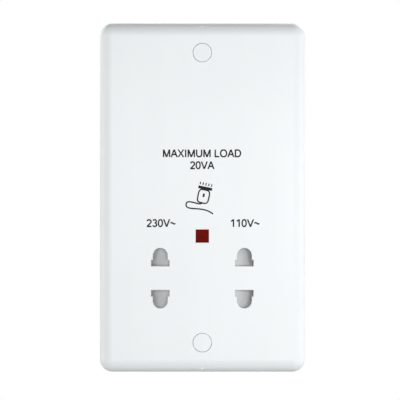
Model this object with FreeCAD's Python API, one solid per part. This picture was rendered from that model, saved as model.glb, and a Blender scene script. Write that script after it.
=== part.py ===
"""Dual-voltage shaver socket for a two-gang wall box, in millimetres.

Frame: the origin is the centre of the face plate on the wall plane. +X is to the right as
seen from the room, +Y goes into the wall and +Z is up, so the front face looks along -Y.

A plug's pins push on the sloping ends of the shutter. It slides aside, uncovers the contacts
of that outlet, closes the other one and carries a bridge that switches the transformer on.
"""

import FreeCAD
import Part
import os
from math import cos, hypot, radians, sin

Vector = FreeCAD.Vector
ALONG_X = Vector(1, 0, 0)
INTO_WALL = Vector(0, 1, 0)
UPWARDS = Vector(0, 0, 1)
SIDES = (-1, 1)
MATCH = 1e-4

# Face plate
PLATE_WIDTH = 86.0
PLATE_HEIGHT = 146.0
PLATE_DEPTH = 9.0
PLATE_EDGE_RADIUS = 5.2
PLATE_SIDE_LEAN = 0.5
SIDE_WALL = 2.4
FACE_WALL = 2.6
INNER_BEVEL = 1.4
MOUTH_BEVEL = 0.22
PLATE_RIB = 1.4
LOCATING_RIB_HEIGHT = 2.5
SLIP_FIT = 0.2

# Fixing screws under their caps
FIXING_CENTRES = 120.6
FIXING_PILLAR_RADIUS = 5.8
FIXING_SCREW_RADIUS = 1.75
FIXING_SHANK_RADIUS = 1.5
FIXING_HOLE_PLAY = 0.35
FIXING_SCREW_LENGTH = 25.0
FIXING_HEAD_RADIUS = 3.0
FIXING_HEAD_HEIGHT = 2.4
SCREW_SLOT_WIDTH = 1.0
SCREW_SLOT_DEPTH = 1.0
CAP_RADIUS = 3.85
CAP_PLAY = 0.15
CAP_THICKNESS = 1.2
CAP_SKIRT_WALL = 0.5
CAP_HEAD_GAP = 0.6
CAP_BEVEL = 0.12

# Pin holes of the two outlets
OUTLET_SPACING = 35.0
OUTLET_DROP = 33.5
HOLE_INNER = 5.0
SLOT_WIDTH = 7.6
SLOT_HEIGHT = 2.55
PIN_CENTRE = 9.45
PIN_HOLE_RADIUS = 3.05

# Indicator lens, lamp and resistor
LENS_SIZE = 5.4
LENS_DROP = 16.0
LENS_PLAY = 0.08
LENS_RECESS = 0.1
LENS_WALL = 0.6
LENS_CUP_LENGTH = 5.4
LENS_FLANGE_REACH = 3.2
LENS_FLANGE_THICKNESS = 1.0
LENS_RIB_HEIGHT = 3.0
LAMP_RADIUS = 1.9
LAMP_LENGTH = 10.0
LAMP_SEAT_GAP = 0.3
LAMP_LEAD_RADIUS = 0.25
LAMP_LEAD_SPREAD = 0.9
LAMP_LEAD_LENGTH = 3.0
RESISTOR_LENGTH = 6.5
RESISTOR_RADIUS = 1.2
RESISTOR_LEAD_LENGTH = 2.5

# Shutter
SHUTTER_GAP = 0.3
SHUTTER_DEPTH = 8.6
SHUTTER_LAP = 0.4
SHUTTER_WALL = 1.4
SHUTTER_TIP = 0.8
SHUTTER_BLOCK_HALF_WIDTH = 10.0
RAIL_GAP = 0.25
STOP_GAP = 0.6

# Centring spring, folded from flat strip
SPRING_LENGTH = 15.0
SPRING_HEIGHT = 5.2
SPRING_WIDTH = 4.6
SPRING_STRIP = 0.35
SPRING_LEGS = 5
SPRING_BEND_FACETS = 4
SPRING_PLAY = 0.15

# Slide switch: two fixed strips and a bridge on the shutter
STRIP_THICKNESS = 0.5
STRIP_HALF_LENGTH = 12.0
STRIP_PLAY = 0.1
LINE_STRIP_LOW = 7.2
LINE_STRIP_HIGH = 11.2
LINE_NOTCH_HALF_WIDTH = 3.5
LINE_NOTCH_HEIGHT = 2.7
LOAD_STRIP_LOW = 3.6
LOAD_STRIP_HIGH = 6.2
TAIL_WIDTH = 3.0
TAIL_PLACE = 7.5
TAIL_REACH = 2.0
BRIDGE_WIDTH = 3.0
BRIDGE_STRIP = 0.35
BRIDGE_LIFT = 1.6
BRIDGE_CONTACT_GAP = 0.12
BRIDGE_END_RUN = 0.9
BRIDGE_PLAY = 0.3

# Contact carrier and spring contacts
CARRIER_DEPTH = 12.0
CARRIER_FACE = 1.6
CARRIER_WINDOW_GROWTH = 0.4
CARRIER_PLAY = 0.4
CARRIER_HOLLOW_HALF_WIDTH = 10.5
CARRIER_HOLLOW_HALF_HEIGHT = 12.2
CARRIER_END_WALL = 1.4
CONTACT_STRIP = 0.5
CONTACT_WIDTH = 8.8
CONTACT_GRIP = 1.9
CONTACT_MOUTH = 3.3
CONTACT_NECK_DEPTH = 3.2
CONTACT_MOUTH_GAP = 0.5
CONTACT_PLAY = 0.2
CONTACT_SEAT = 0.4
CONTACT_LENGTH = 5.4
BLADE_LEAF_WIDTH = 5.0
BLADE_LEAF_BOW = 1.2
POCKET_MARGIN = 0.9
LINK_HEIGHT = 4.0
SOLDER_TAG_WIDTH = 3.0
SOLDER_TAG_LENGTH = 4.0

# Transformer
CORE_UNIT_WIDTH = 9.0
CORE_STACK = 18.0
CORE_CENTRE = 17.5
CORE_HOLE_RADIUS = 1.7
CORE_POST = 6.6
CORE_SPIGOT_PLAY = 0.15
CORE_SPIGOT_LENGTH = 5.0
COIL_FACE_GAP = 0.8
BOBBIN_PLAY = 0.2
BOBBIN_WALL = 0.9
BOBBIN_FLANGE = 1.0
BOBBIN_EDGE_GAP = 0.4
WINDING_DROP = 0.8
WINDING_CORNER = 5.0
WINDING_PLAY = 0.1
CUTOUT_WIDTH = 14.0
CUTOUT_HEIGHT = 7.0
CUTOUT_THICKNESS = 3.4
CUTOUT_BEVEL = 0.8
CUTOUT_BACK_GAP = 0.8

# Rear housing
HOUSING_WALL = 2.0
HOUSING_CORNER_RADIUS = 4.0
HOUSING_BEVEL = 1.2
BAY_ROOM = 1.0
CONTACT_BAY_ROOM = 5.0
HOLD_DOWN = 5.6
EAR_PLACE = 20.0
EAR_REACH = 4.6
EAR_RADIUS = 4.0
EAR_THICKNESS = 3.0
HOOK_WIDTH = 8.0
HOOK_REACH = 4.0
HOOK_THICKNESS = 2.0
HOOK_PLAY = 0.1
VENT_COUNT = 7
VENT_PITCH = 4.6
VENT_WIDTH = 2.2
VENT_LENGTH = 24.0
HOUSING_SCREW_RADIUS = 1.45
HOUSING_SCREW_LENGTH = 8.5
HOUSING_SCREW_PLAY = 0.03
HOUSING_SCREW_HOLE_PLAY = 0.2
HOUSING_HEAD_RADIUS = 2.7
HOUSING_HEAD_HEIGHT = 1.8
BOSS_SIZE = 7.0
CROSS_SLOT_LENGTH = 3.2
CROSS_SLOT_WIDTH = 0.7

# Wiring terminals on their shelf
SHELF_HEIGHT = 10.0
TERMINAL_WIDTH = 7.0
TERMINAL_DEPTH = 8.0
TERMINAL_HEIGHT = 8.0
TERMINAL_PLAY = 0.15
TERMINAL_BEVEL = 0.4
TERMINAL_PLACES = {"terminal_earth": -15.0, "terminal_neutral": 9.0, "terminal_live": 20.0}
TERMINAL_LIP = 0.6
BARRIER_WALL = 1.6
BARRIER_DROP = 1.0
WIRE_BORE_RADIUS = 2.0
WIRE_BORE_FLOOR = 1.4
WIRE_BORE_DEPTH = 7.0
CLAMP_SCREW_RADIUS = 1.75
CLAMP_SCREW_PLAY = 0.03
CLAMP_SCREW_CLEAR = 0.1
CLAMP_SCREW_LENGTH = 5.0
TERMINAL_TAG_WIDTH = 3.0
TERMINAL_TAG_THICKNESS = 0.8
TERMINAL_TAG_LENGTH = 6.0

# Planes and places that follow from the sizes
PLATE_FRONT = -PLATE_DEPTH
FACE_INNER = PLATE_FRONT + FACE_WALL
CAP_SEAT = PLATE_FRONT + CAP_THICKNESS + CAP_HEAD_GAP + FIXING_HEAD_HEIGHT
OUTLET_Z = -OUTLET_DROP
OUTLET_X = OUTLET_SPACING / 2
HOLE_REACH = PIN_CENTRE + PIN_HOLE_RADIUS
LENS_Z = -LENS_DROP
SHUTTER_FRONT = FACE_INNER + SHUTTER_GAP
SHUTTER_BACK = SHUTTER_FRONT + SHUTTER_DEPTH
SHUTTER_END = OUTLET_X + SLOT_WIDTH / 2 + SHUTTER_LAP
SHUTTER_HALF_HEIGHT = HOLE_REACH + SHUTTER_LAP
SHUTTER_TRAVEL = SLOT_WIDTH + SHUTTER_LAP + SLIP_FIT
RAMP_START = OUTLET_X - SLOT_WIDTH / 2
RAIL_INNER = SHUTTER_HALF_HEIGHT + RAIL_GAP
RAIL_OUTER = RAIL_INNER + PLATE_RIB
CARRIER_FRONT = SHUTTER_BACK + SHUTTER_GAP
CARRIER_BACK = CARRIER_FRONT + CARRIER_DEPTH
SPRING_MIDDLE = (SHUTTER_BACK + CARRIER_FRONT) / 2
BRIDGE_FLOOR = SHUTTER_BACK - BRIDGE_LIFT
CONTACT_BASE = CARRIER_BACK - CONTACT_SEAT - CONTACT_STRIP
CORE_HALF_WIDTH = 3 * CORE_UNIT_WIDTH
CORE_BOTTOM = CORE_CENTRE - 2.5 * CORE_UNIT_WIDTH
CORE_TOP = CORE_CENTRE + 2.5 * CORE_UNIT_WIDTH
CORE_WINDOW_LOW = CORE_BOTTOM + CORE_UNIT_WIDTH
CORE_WINDOW_HIGH = CORE_BOTTOM + 4 * CORE_UNIT_WIDTH
COIL_HALF_WIDTH = 2 * CORE_UNIT_WIDTH - BOBBIN_EDGE_GAP
COIL_HALF_DEPTH = CORE_STACK / 2 + CORE_UNIT_WIDTH - BOBBIN_EDGE_GAP
CORE_MIDDLE = FACE_INNER + COIL_FACE_GAP + COIL_HALF_DEPTH
CORE_FRONT = CORE_MIDDLE - CORE_STACK / 2
CORE_BACK = CORE_MIDDLE + CORE_STACK / 2
CORE_HOLE_X = CORE_HALF_WIDTH - CORE_UNIT_WIDTH / 2
CORE_HOLE_HEIGHTS = (CORE_BOTTOM + CORE_UNIT_WIDTH / 2, CORE_TOP - CORE_UNIT_WIDTH / 2)
WINDING_BACK = CORE_MIDDLE + COIL_HALF_DEPTH - WINDING_DROP
HOUSING_HALF_WIDTH = SHUTTER_END + SHUTTER_TRAVEL + STOP_GAP + HOUSING_WALL
BAY_LOW = CORE_BOTTOM - BAY_ROOM - HOUSING_WALL
BAY_HIGH = CORE_TOP + BAY_ROOM + HOUSING_WALL
BAY_BACK_INNER = WINDING_BACK + CUTOUT_THICKNESS + CUTOUT_BACK_GAP
BAY_BACK = BAY_BACK_INNER + HOUSING_WALL
HOUSING_TOP = BAY_HIGH + TERMINAL_PLAY + TERMINAL_HEIGHT + TERMINAL_LIP
HOUSING_BOTTOM = OUTLET_Z - RAIL_OUTER - CARRIER_PLAY - HOUSING_WALL
CONTACT_BAY_BACK_INNER = CARRIER_BACK + CONTACT_BAY_ROOM
CONTACT_BAY_BACK = CONTACT_BAY_BACK_INNER + HOUSING_WALL
EARS = [(side * EAR_PLACE, HOUSING_TOP + EAR_REACH) for side in SIDES]
TERMINAL_LOW = BAY_HIGH + TERMINAL_PLAY
TERMINAL_TOP = TERMINAL_LOW + TERMINAL_HEIGHT
TERMINAL_MIDDLE = TERMINAL_LOW + TERMINAL_HEIGHT / 2
WIRE_BORE_Y = SHELF_HEIGHT + WIRE_BORE_FLOOR + WIRE_BORE_RADIUS


# Shape helpers
def block(x, y, z):
    """Box between three (low, high) pairs."""
    return Part.makeBox(x[1] - x[0], y[1] - y[0], z[1] - z[0], Vector(x[0], y[0], z[0]))


def rod(radius, x, z, y):
    """Round bar along Y at (x, z), between a (low, high) pair of depths."""
    return Part.makeCylinder(radius, y[1] - y[0], Vector(x, y[0], z), INTO_WALL)


def span(middle, half):
    """The (low, high) pair of a size centred on a place."""
    return (middle - half, middle + half)


def fused(shapes):
    """One solid from shapes that meet."""
    return shapes[0].multiFuse(shapes[1:]).removeSplitter()


def closed_wire(points, arc_middles):
    """Wire through the points in turn; a middle point makes that side an arc, and None a line."""
    edges = []
    for i, start in enumerate(points):
        end = points[(i + 1) % len(points)]
        middle = arc_middles[i]
        if middle is None:
            edges.append(Part.makeLine(start, end))
        else:
            edges.append(Part.Arc(start, middle, end).toShape())
    return Part.Wire(edges)


def rounded_outline(x, z, radius, y):
    """Rectangle with rounded corners, in a plane parallel to the wall."""
    corners = ((x[1] - radius, z[1] - radius, 0), (x[0] + radius, z[1] - radius, 90),
               (x[0] + radius, z[0] + radius, 180), (x[1] - radius, z[0] + radius, 270))
    points = []
    arc_middles = []
    for corner_x, corner_z, start in corners:
        turn = [Vector(corner_x + radius * cos(radians(start + step)), y,
                       corner_z + radius * sin(radians(start + step))) for step in (0, 45, 90)]
        points += [turn[0], turn[2]]
        arc_middles += [turn[1], None]
    return closed_wire(points, arc_middles)


def rounded_block(x, y, z, radius):
    """Block whose four edges along Y are rounded."""
    outline = Part.Face(rounded_outline(x, z, radius, y[0]))
    return outline.extrude(INTO_WALL * (y[1] - y[0]))


def edges_in_plane(shape, y):
    """The edges of a shape that lie in the plane at depth y."""
    return [edge for edge in shape.Edges
            if abs(edge.BoundBox.YMin - y) < MATCH and abs(edge.BoundBox.YMax - y) < MATCH]


def pin_hole(outlet_x, way, y):
    """Prism of one key-shaped pin hole: a flat-blade slot that opens into a round-ended part."""
    slot = SLOT_WIDTH / 2
    radius = PIN_HOLE_RADIUS
    reaches = (HOLE_INNER, HOLE_INNER + SLOT_HEIGHT, PIN_CENTRE)
    inner, shoulder, centre = [OUTLET_Z + way * reach for reach in reaches]
    corners = ((-slot, inner), (slot, inner), (slot, shoulder), (radius, shoulder), (radius, centre),
               (-radius, centre), (-radius, shoulder), (-slot, shoulder))
    points = [Vector(outlet_x + x, y[0], z) for x, z in corners]
    arc_middles = [None] * len(points)
    arc_middles[4] = Vector(outlet_x, y[0], centre + way * radius)
    return Part.Face(closed_wire(points, arc_middles)).extrude(INTO_WALL * (y[1] - y[0]))


def bent_strip(path, thickness):
    """Corners of a strip of even thickness whose middle follows a path of (u, v) points."""
    runs = []
    for (u0, v0), (u1, v1) in zip(path, path[1:]):
        length = hypot(u1 - u0, v1 - v0)
        runs.append(((u1 - u0) / length, (v1 - v0) / length))
    runs = [runs[0]] + runs + [runs[-1]]
    left, right = [], []
    for (u, v), (au, av), (bu, bv) in zip(path, runs, runs[1:]):
        mitre_u, mitre_v = -(av + bv), au + bu
        scale = thickness / (mitre_u * -av + mitre_v * au) / 2
        left.append((u + mitre_u * scale, v + mitre_v * scale))
        right.append((u - mitre_u * scale, v - mitre_v * scale))
    return left + right[::-1]


def strip_along_z(path, thickness, z):
    """Bent strip whose path lies in X and Y, as high as the (low, high) pair z."""
    points = [Vector(u, v, z[0]) for u, v in bent_strip(path, thickness)]
    face = Part.Face(Part.makePolygon(points + points[:1]))
    return face.extrude(UPWARDS * (z[1] - z[0]))


def strip_along_x(path, thickness, x):
    """Bent strip whose path lies in Z and Y, as wide as the (low, high) pair x."""
    points = [Vector(x[0], v, u) for u, v in bent_strip(path, thickness)]
    face = Part.Face(Part.makePolygon(points + points[:1]))
    return face.extrude(ALONG_X * (x[1] - x[0]))


def strip_along_y(path, thickness, y, z):
    """Bent strip whose path lies in X and Z about the height z, as deep as the (low, high) pair y."""
    points = [Vector(u, y[0], z + v) for u, v in bent_strip(path, thickness)]
    face = Part.Face(Part.makePolygon(points + points[:1]))
    return face.extrude(INTO_WALL * (y[1] - y[0]))


def lifted(path, way):
    """A path given upwards from the outlet's centre line, turned up or down from it."""
    return [(OUTLET_Z + way * u, v) for u, v in path]


def levels(low, high, way=1):
    """The (low, high) pair of heights given as distances from the outlet's centre line."""
    return tuple(sorted((OUTLET_Z + way * low, OUTLET_Z + way * high)))


# Face plate and what shows on it
def leaning_block(inset, front):
    """Block from a front depth to the wall, inset from the plate's outline, with sides that lean in."""
    x = PLATE_WIDTH / 2 - inset
    z = PLATE_HEIGHT / 2 - inset
    front_x = x - PLATE_SIDE_LEAN
    front_z = z - PLATE_SIDE_LEAN
    return Part.makeWedge(-front_x, front, -front_z, -z, -x, front_x, 0, front_z, z, x)


def front_and_corner_edges(shape, y):
    """The edges of a shape that lie in the plane at depth y or end on it."""
    return [edge for edge in shape.Edges if any(abs(corner.Y - y) < MATCH for corner in edge.Vertexes)]


def plate_shell():
    """The open-backed moulding: one rounding runs round the flat face and down the four corners."""
    outside = leaning_block(0, PLATE_FRONT)
    outside = outside.makeFillet(PLATE_EDGE_RADIUS, front_and_corner_edges(outside, PLATE_FRONT))
    inside = leaning_block(SIDE_WALL, FACE_INNER)
    inside = inside.makeChamfer(INNER_BEVEL, front_and_corner_edges(inside, FACE_INNER))
    return outside.cut(inside)


def plate_pillars():
    """Screw pillars, each tied to the end wall by a rib."""
    shapes = []
    for side in SIDES:
        z = side * FIXING_CENTRES / 2
        wall = side * (PLATE_HEIGHT - SIDE_WALL) / 2
        shapes.append(rod(FIXING_PILLAR_RADIUS, 0, z, (FACE_INNER - FACE_WALL / 2, 0)))
        shapes.append(block(span(0, PLATE_RIB / 2), (FACE_INNER - FACE_WALL / 2, FACE_INNER / 2),
                            sorted((z, wall - side * PLATE_SIDE_LEAN))))
    return shapes


def plate_supports():
    """What stands on the back of the face: shutter rails, core posts, housing bosses, lens ribs."""
    root = FACE_INNER - FACE_WALL / 2
    shapes = []
    for way in SIDES:
        shapes.append(block(span(0, HOUSING_HALF_WIDTH - HOUSING_CORNER_RADIUS), (root, CARRIER_FRONT),
                            levels(RAIL_INNER, RAIL_OUTER, way)))
    for x in (-CORE_HOLE_X, CORE_HOLE_X):
        for z in CORE_HOLE_HEIGHTS:
            shapes.append(block(span(x, CORE_POST / 2), (root, CORE_FRONT), span(z, CORE_POST / 2)))
    for x, z in zip((-CORE_HOLE_X, CORE_HOLE_X), CORE_HOLE_HEIGHTS):
        shapes.append(rod(CORE_HOLE_RADIUS - CORE_SPIGOT_PLAY, x, z, (root, CORE_FRONT + CORE_SPIGOT_LENGTH)))
    catch_low = HOUSING_BOTTOM - HOOK_REACH - HOOK_PLAY - PLATE_RIB
    for x, z in EARS:
        shapes.append(block(span(x, BOSS_SIZE / 2), (root, 0), span(z, BOSS_SIZE / 2)))
        shapes.append(block(span(x, HOOK_WIDTH / 2 + HOOK_PLAY + PLATE_RIB),
                            (root, FACE_INNER + HOOK_THICKNESS + HOOK_PLAY + PLATE_RIB),
                            (catch_low, HOUSING_BOTTOM - SLIP_FIT)))
    lens_reach = LENS_SIZE / 2 + LENS_FLANGE_REACH + LENS_PLAY
    for side in SIDES:
        rib = sorted((side * lens_reach, side * (lens_reach + PLATE_RIB)))
        shapes.append(block(rib, (root, FACE_INNER + LENS_RIB_HEIGHT), span(LENS_Z, LENS_SIZE / 2)))
    return shapes


def locating_ribs():
    """Low ribs along the four sides of the rear housing's foot, clear of its rounded corners."""
    y = (FACE_INNER - FACE_WALL / 2, FACE_INNER + LOCATING_RIB_HEIGHT)
    across = span(0, HOUSING_HALF_WIDTH - HOUSING_CORNER_RADIUS)
    upright = (HOUSING_BOTTOM + HOUSING_CORNER_RADIUS, HOUSING_TOP - HOUSING_CORNER_RADIUS)
    rib = (SLIP_FIT, SLIP_FIT + PLATE_RIB)
    shapes = []
    for side in SIDES:
        shapes.append(block(sorted(side * (HOUSING_HALF_WIDTH + reach) for reach in rib), y, upright))
    shapes.append(block(across, y, [HOUSING_TOP + reach for reach in rib]))
    shapes.append(block(across, y, [HOUSING_BOTTOM - reach for reach in rib[::-1]]))
    return shapes


def front_plate():
    """White face plate with its pin holes, lens window, screw wells and rear supports."""
    plate = fused([plate_shell()] + locating_ribs() + plate_pillars() + plate_supports())
    through = (PLATE_FRONT - FACE_WALL, FACE_INNER + FACE_WALL)
    lens_window = LENS_SIZE / 2 + LENS_PLAY
    hole_depth = (through[0], FACE_INNER + SHUTTER_GAP)
    cuts = [pin_hole(side * OUTLET_X, way, hole_depth) for side in SIDES for way in SIDES]
    cuts.append(block(span(0, lens_window), (through[0], FACE_INNER), span(LENS_Z, lens_window)))
    for side in SIDES:
        z = side * FIXING_CENTRES / 2
        cuts.append(rod(CAP_RADIUS + CAP_PLAY, 0, z, (through[0], CAP_SEAT)))
        cuts.append(rod(FIXING_SCREW_RADIUS + FIXING_HOLE_PLAY, 0, z, (through[0], FACE_WALL)))
    for x, z in EARS:
        depth = (EAR_THICKNESS - HOUSING_SCREW_LENGTH - FACE_WALL / 4, FACE_WALL)
        cuts.append(rod(HOUSING_SCREW_RADIUS + HOUSING_SCREW_PLAY, x, z, depth))
        cuts.append(housing_hook(x, HOOK_PLAY))
    plate = plate.cut(Part.makeCompound(cuts)).removeSplitter()
    mouths = [edge for edge in edges_in_plane(plate, PLATE_FRONT)
              if abs(edge.BoundBox.ZMax - OUTLET_Z) < HOLE_REACH + SLIP_FIT
              and abs(edge.BoundBox.ZMin - OUTLET_Z) < HOLE_REACH + SLIP_FIT]
    return plate.makeChamfer(MOUTH_BEVEL, mouths)


def screw_cap(side):
    """Push-in cap: a flush disc with a thin skirt that stands on the floor of the screw well."""
    z = side * FIXING_CENTRES / 2
    cup = rod(CAP_RADIUS, 0, z, (PLATE_FRONT, CAP_SEAT))
    cup = cup.makeChamfer(CAP_BEVEL, edges_in_plane(cup, PLATE_FRONT))
    hollow = rod(CAP_RADIUS - CAP_SKIRT_WALL, 0, z, (PLATE_FRONT + CAP_THICKNESS, CAP_SEAT))
    return cup.cut(hollow)


def fixing_screw(side):
    """Cheese-head machine screw with a rolled thread, which is wider than the shank behind its head."""
    z = side * FIXING_CENTRES / 2
    head_front = CAP_SEAT - FIXING_HEAD_HEIGHT
    shank = rod(FIXING_SHANK_RADIUS, 0, z, (CAP_SEAT, 0))
    thread = rod(FIXING_SCREW_RADIUS, 0, z, (0, CAP_SEAT + FIXING_SCREW_LENGTH))
    screw = fused([rod(FIXING_HEAD_RADIUS, 0, z, (head_front, CAP_SEAT)), shank, thread])
    slot = block(span(0, FIXING_HEAD_RADIUS), (head_front, head_front + SCREW_SLOT_DEPTH),
                 span(z, SCREW_SLOT_WIDTH / 2))
    return screw.cut(slot).removeSplitter()


def neon_lens():
    """Square red lens: a cup for the lamp, with two ears behind the face."""
    half = LENS_SIZE / 2
    front = PLATE_FRONT + LENS_RECESS
    lens = block(span(0, half), (front, FACE_INNER + LENS_CUP_LENGTH), span(LENS_Z, half))
    ears = block(span(0, half + LENS_FLANGE_REACH), (FACE_INNER, FACE_INNER + LENS_FLANGE_THICKNESS),
                 span(LENS_Z, half))
    bore = block(span(0, half - LENS_WALL), (FACE_INNER, FACE_INNER + LENS_CUP_LENGTH),
                 span(LENS_Z, half - LENS_WALL))
    return lens.fuse(ears).cut(bore).removeSplitter()


def neon_lamp():
    """Glow lamp: a glass tube and two wire leads."""
    tip = FACE_INNER + LAMP_SEAT_GAP
    base = tip + LAMP_LENGTH
    tube = rod(LAMP_RADIUS, 0, LENS_Z, (tip, base))
    leads = [rod(LAMP_LEAD_RADIUS, side * LAMP_LEAD_SPREAD, LENS_Z, (base, base + LAMP_LEAD_LENGTH))
             for side in SIDES]
    return fused([tube] + leads)


def neon_resistor():
    """Axial series resistor, soldered to one lead of the lamp."""
    joint_x = -LAMP_LEAD_SPREAD - LAMP_LEAD_RADIUS
    y = FACE_INNER + LAMP_SEAT_GAP + LAMP_LENGTH + LAMP_LEAD_LENGTH / 2
    length = RESISTOR_LENGTH + 2 * RESISTOR_LEAD_LENGTH
    lead = Part.makeCylinder(LAMP_LEAD_RADIUS, length, Vector(joint_x, y, LENS_Z), ALONG_X * -1)
    body = Part.makeCylinder(RESISTOR_RADIUS, RESISTOR_LENGTH,
                             Vector(joint_x - RESISTOR_LEAD_LENGTH, y, LENS_Z), ALONG_X * -1)
    return lead.fuse(body).removeSplitter()


# Shutter, its spring and the switch that it works
def ramp_inset():
    """Places where the hollow behind a ramp meets the front wall and the open back."""
    run = SHUTTER_END - RAMP_START
    drop = SHUTTER_DEPTH - SHUTTER_TIP
    slope = run / drop
    shift = SHUTTER_WALL * hypot(run, drop) / drop
    return (RAMP_START - shift + SHUTTER_WALL * slope, RAMP_START - shift + SHUTTER_DEPTH * slope)


def shutter():
    """Sliding shutter: a flat middle that blocks, and a ramp behind each outlet's holes."""
    profile = [(-SHUTTER_END, SHUTTER_BACK), (-SHUTTER_END, SHUTTER_BACK - SHUTTER_TIP),
               (-RAMP_START, SHUTTER_FRONT), (RAMP_START, SHUTTER_FRONT),
               (SHUTTER_END, SHUTTER_BACK - SHUTTER_TIP), (SHUTTER_END, SHUTTER_BACK)]
    heights = levels(-SHUTTER_HALF_HEIGHT, SHUTTER_HALF_HEIGHT)
    solid = upright_prism(profile, heights)
    hollow_heights = levels(SHUTTER_WALL - SHUTTER_HALF_HEIGHT, SHUTTER_HALF_HEIGHT - SHUTTER_WALL)
    front, back = ramp_inset()
    wall = SHUTTER_FRONT + SHUTTER_WALL
    cuts = []
    for side in SIDES:
        hollow = [(SHUTTER_BLOCK_HALF_WIDTH, SHUTTER_BACK), (SHUTTER_BLOCK_HALF_WIDTH, wall),
                  (front, wall), (back, SHUTTER_BACK)]
        cuts.append(upright_prism([(side * x, y) for x, y in hollow], hollow_heights))
    block_hollow = SHUTTER_BLOCK_HALF_WIDTH - SHUTTER_WALL
    spring_half = SPRING_HEIGHT / 2 + SPRING_PLAY
    cuts.append(block(span(0, block_hollow), (wall, SHUTTER_BACK),
                      levels(spring_half + SHUTTER_WALL, SHUTTER_HALF_HEIGHT - SHUTTER_WALL, -1)))
    cuts.append(spring_pocket((SPRING_MIDDLE - SPRING_WIDTH / 2 - SPRING_PLAY, SHUTTER_BACK)))
    cuts.append(block(span(0, BRIDGE_WIDTH / 2 + BRIDGE_PLAY), (BRIDGE_FLOOR, SHUTTER_BACK),
                      levels(LOAD_STRIP_LOW - BRIDGE_PLAY, LINE_STRIP_HIGH + BRIDGE_PLAY)))
    return solid.cut(Part.makeCompound(cuts)).removeSplitter()


def upright_prism(profile, z):
    """Prism of an (x, y) outline, as high as the (low, high) pair z."""
    points = [Vector(x, y, z[0]) for x, y in profile]
    return Part.Face(Part.makePolygon(points + points[:1])).extrude(UPWARDS * (z[1] - z[0]))


def spring_pocket(y):
    """Room for the centring spring, half in the shutter and half in the carrier."""
    return block(span(0, SPRING_LENGTH / 2), y, span(OUTLET_Z, SPRING_HEIGHT / 2 + SPRING_PLAY))


def centring_spring():
    """Flat strip folded to and fro; the shutter squeezes it from either end."""
    pitch = (SPRING_LENGTH - SPRING_STRIP - 2 * SPRING_PLAY) / (SPRING_LEGS - 1)
    bend = pitch / 2
    straight = SPRING_HEIGHT / 2 - bend - SPRING_STRIP / 2
    path = [(-pitch * (SPRING_LEGS - 1) / 2, straight)]
    for leg in range(SPRING_LEGS - 1):
        way = 1 if leg % 2 else -1
        middle = path[0][0] + bend + leg * pitch
        for facet in range(SPRING_BEND_FACETS + 1):
            turn = radians(180 * facet / SPRING_BEND_FACETS)
            path.append((middle - bend * cos(turn), way * (straight + bend * sin(turn))))
    path.append((-path[0][0], straight if SPRING_LEGS % 2 == 0 else -straight))
    return strip_along_y(path, SPRING_STRIP, span(SPRING_MIDDLE, SPRING_WIDTH / 2), OUTLET_Z)


def line_strip_blank(growth, depth):
    """Plate of the line strip, with the notch where the bridge rests when all is off."""
    y = (CARRIER_FRONT, CARRIER_FRONT + depth)
    plate = block(span(0, STRIP_HALF_LENGTH + growth), y,
                  levels(LINE_STRIP_LOW - growth, LINE_STRIP_HIGH + growth))
    notch_top = LINE_STRIP_LOW + LINE_NOTCH_HEIGHT - growth
    notch = block(span(0, LINE_NOTCH_HALF_WIDTH - growth), y, levels(LINE_STRIP_LOW - growth, notch_top))
    return plate.cut(notch)


def load_strip_blank(growth, depth):
    """Plate of the load strip, which the bridge never leaves."""
    return block(span(0, STRIP_HALF_LENGTH + growth), (CARRIER_FRONT, CARRIER_FRONT + depth),
                 levels(LOAD_STRIP_LOW - growth, LOAD_STRIP_HIGH + growth))


def line_tail(growth):
    """Tail of the line strip, bent back along its upper edge."""
    return block(span(TAIL_PLACE, TAIL_WIDTH / 2 + growth), (CARRIER_FRONT, CARRIER_BACK + TAIL_REACH),
                 levels(LINE_STRIP_HIGH - STRIP_THICKNESS - growth, LINE_STRIP_HIGH + growth))


def load_tail(growth):
    """Tail of the load strip, bent back along its lower edge."""
    return block(span(-TAIL_PLACE, TAIL_WIDTH / 2 + growth), (CARRIER_FRONT, CARRIER_BACK + TAIL_REACH),
                 levels(LOAD_STRIP_LOW - growth, LOAD_STRIP_LOW + STRIP_THICKNESS + growth))


def switch_strip_line():
    """Fixed contact on the mains side of the switch."""
    return line_strip_blank(0, STRIP_THICKNESS).fuse(line_tail(0)).removeSplitter()


def switch_strip_load():
    """Fixed contact on the transformer side of the switch."""
    return load_strip_blank(0, STRIP_THICKNESS).fuse(load_tail(0)).removeSplitter()


def switch_bridge():
    """Springy bridge on the back of the shutter, with a crest over each strip."""
    half = BRIDGE_STRIP / 2
    crest = CARRIER_FRONT - BRIDGE_CONTACT_GAP - half
    rest = BRIDGE_FLOOR + half
    load_crest = (LOAD_STRIP_LOW + LOAD_STRIP_HIGH) / 2
    line_crest = LINE_STRIP_LOW + LINE_NOTCH_HEIGHT / 2
    path = [(load_crest - BRIDGE_END_RUN, (crest + rest) / 2), (load_crest, crest),
            (load_crest + BRIDGE_END_RUN, rest), (line_crest - BRIDGE_END_RUN, rest),
            (line_crest, crest), (line_crest + BRIDGE_END_RUN, (crest + rest) / 2)]
    return strip_along_x(lifted(path, 1), BRIDGE_STRIP, span(0, BRIDGE_WIDTH / 2))


# Contact carrier and the spring contacts in it
def contact_pocket(side, way):
    """Room for one spring contact, open at the back of the carrier."""
    return block(span(side * OUTLET_X, CONTACT_WIDTH / 2 + CONTACT_PLAY),
                 (CARRIER_FRONT + CARRIER_FACE, CARRIER_BACK),
                 levels(HOLE_INNER - POCKET_MARGIN, HOLE_REACH + POCKET_MARGIN, way))


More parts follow.
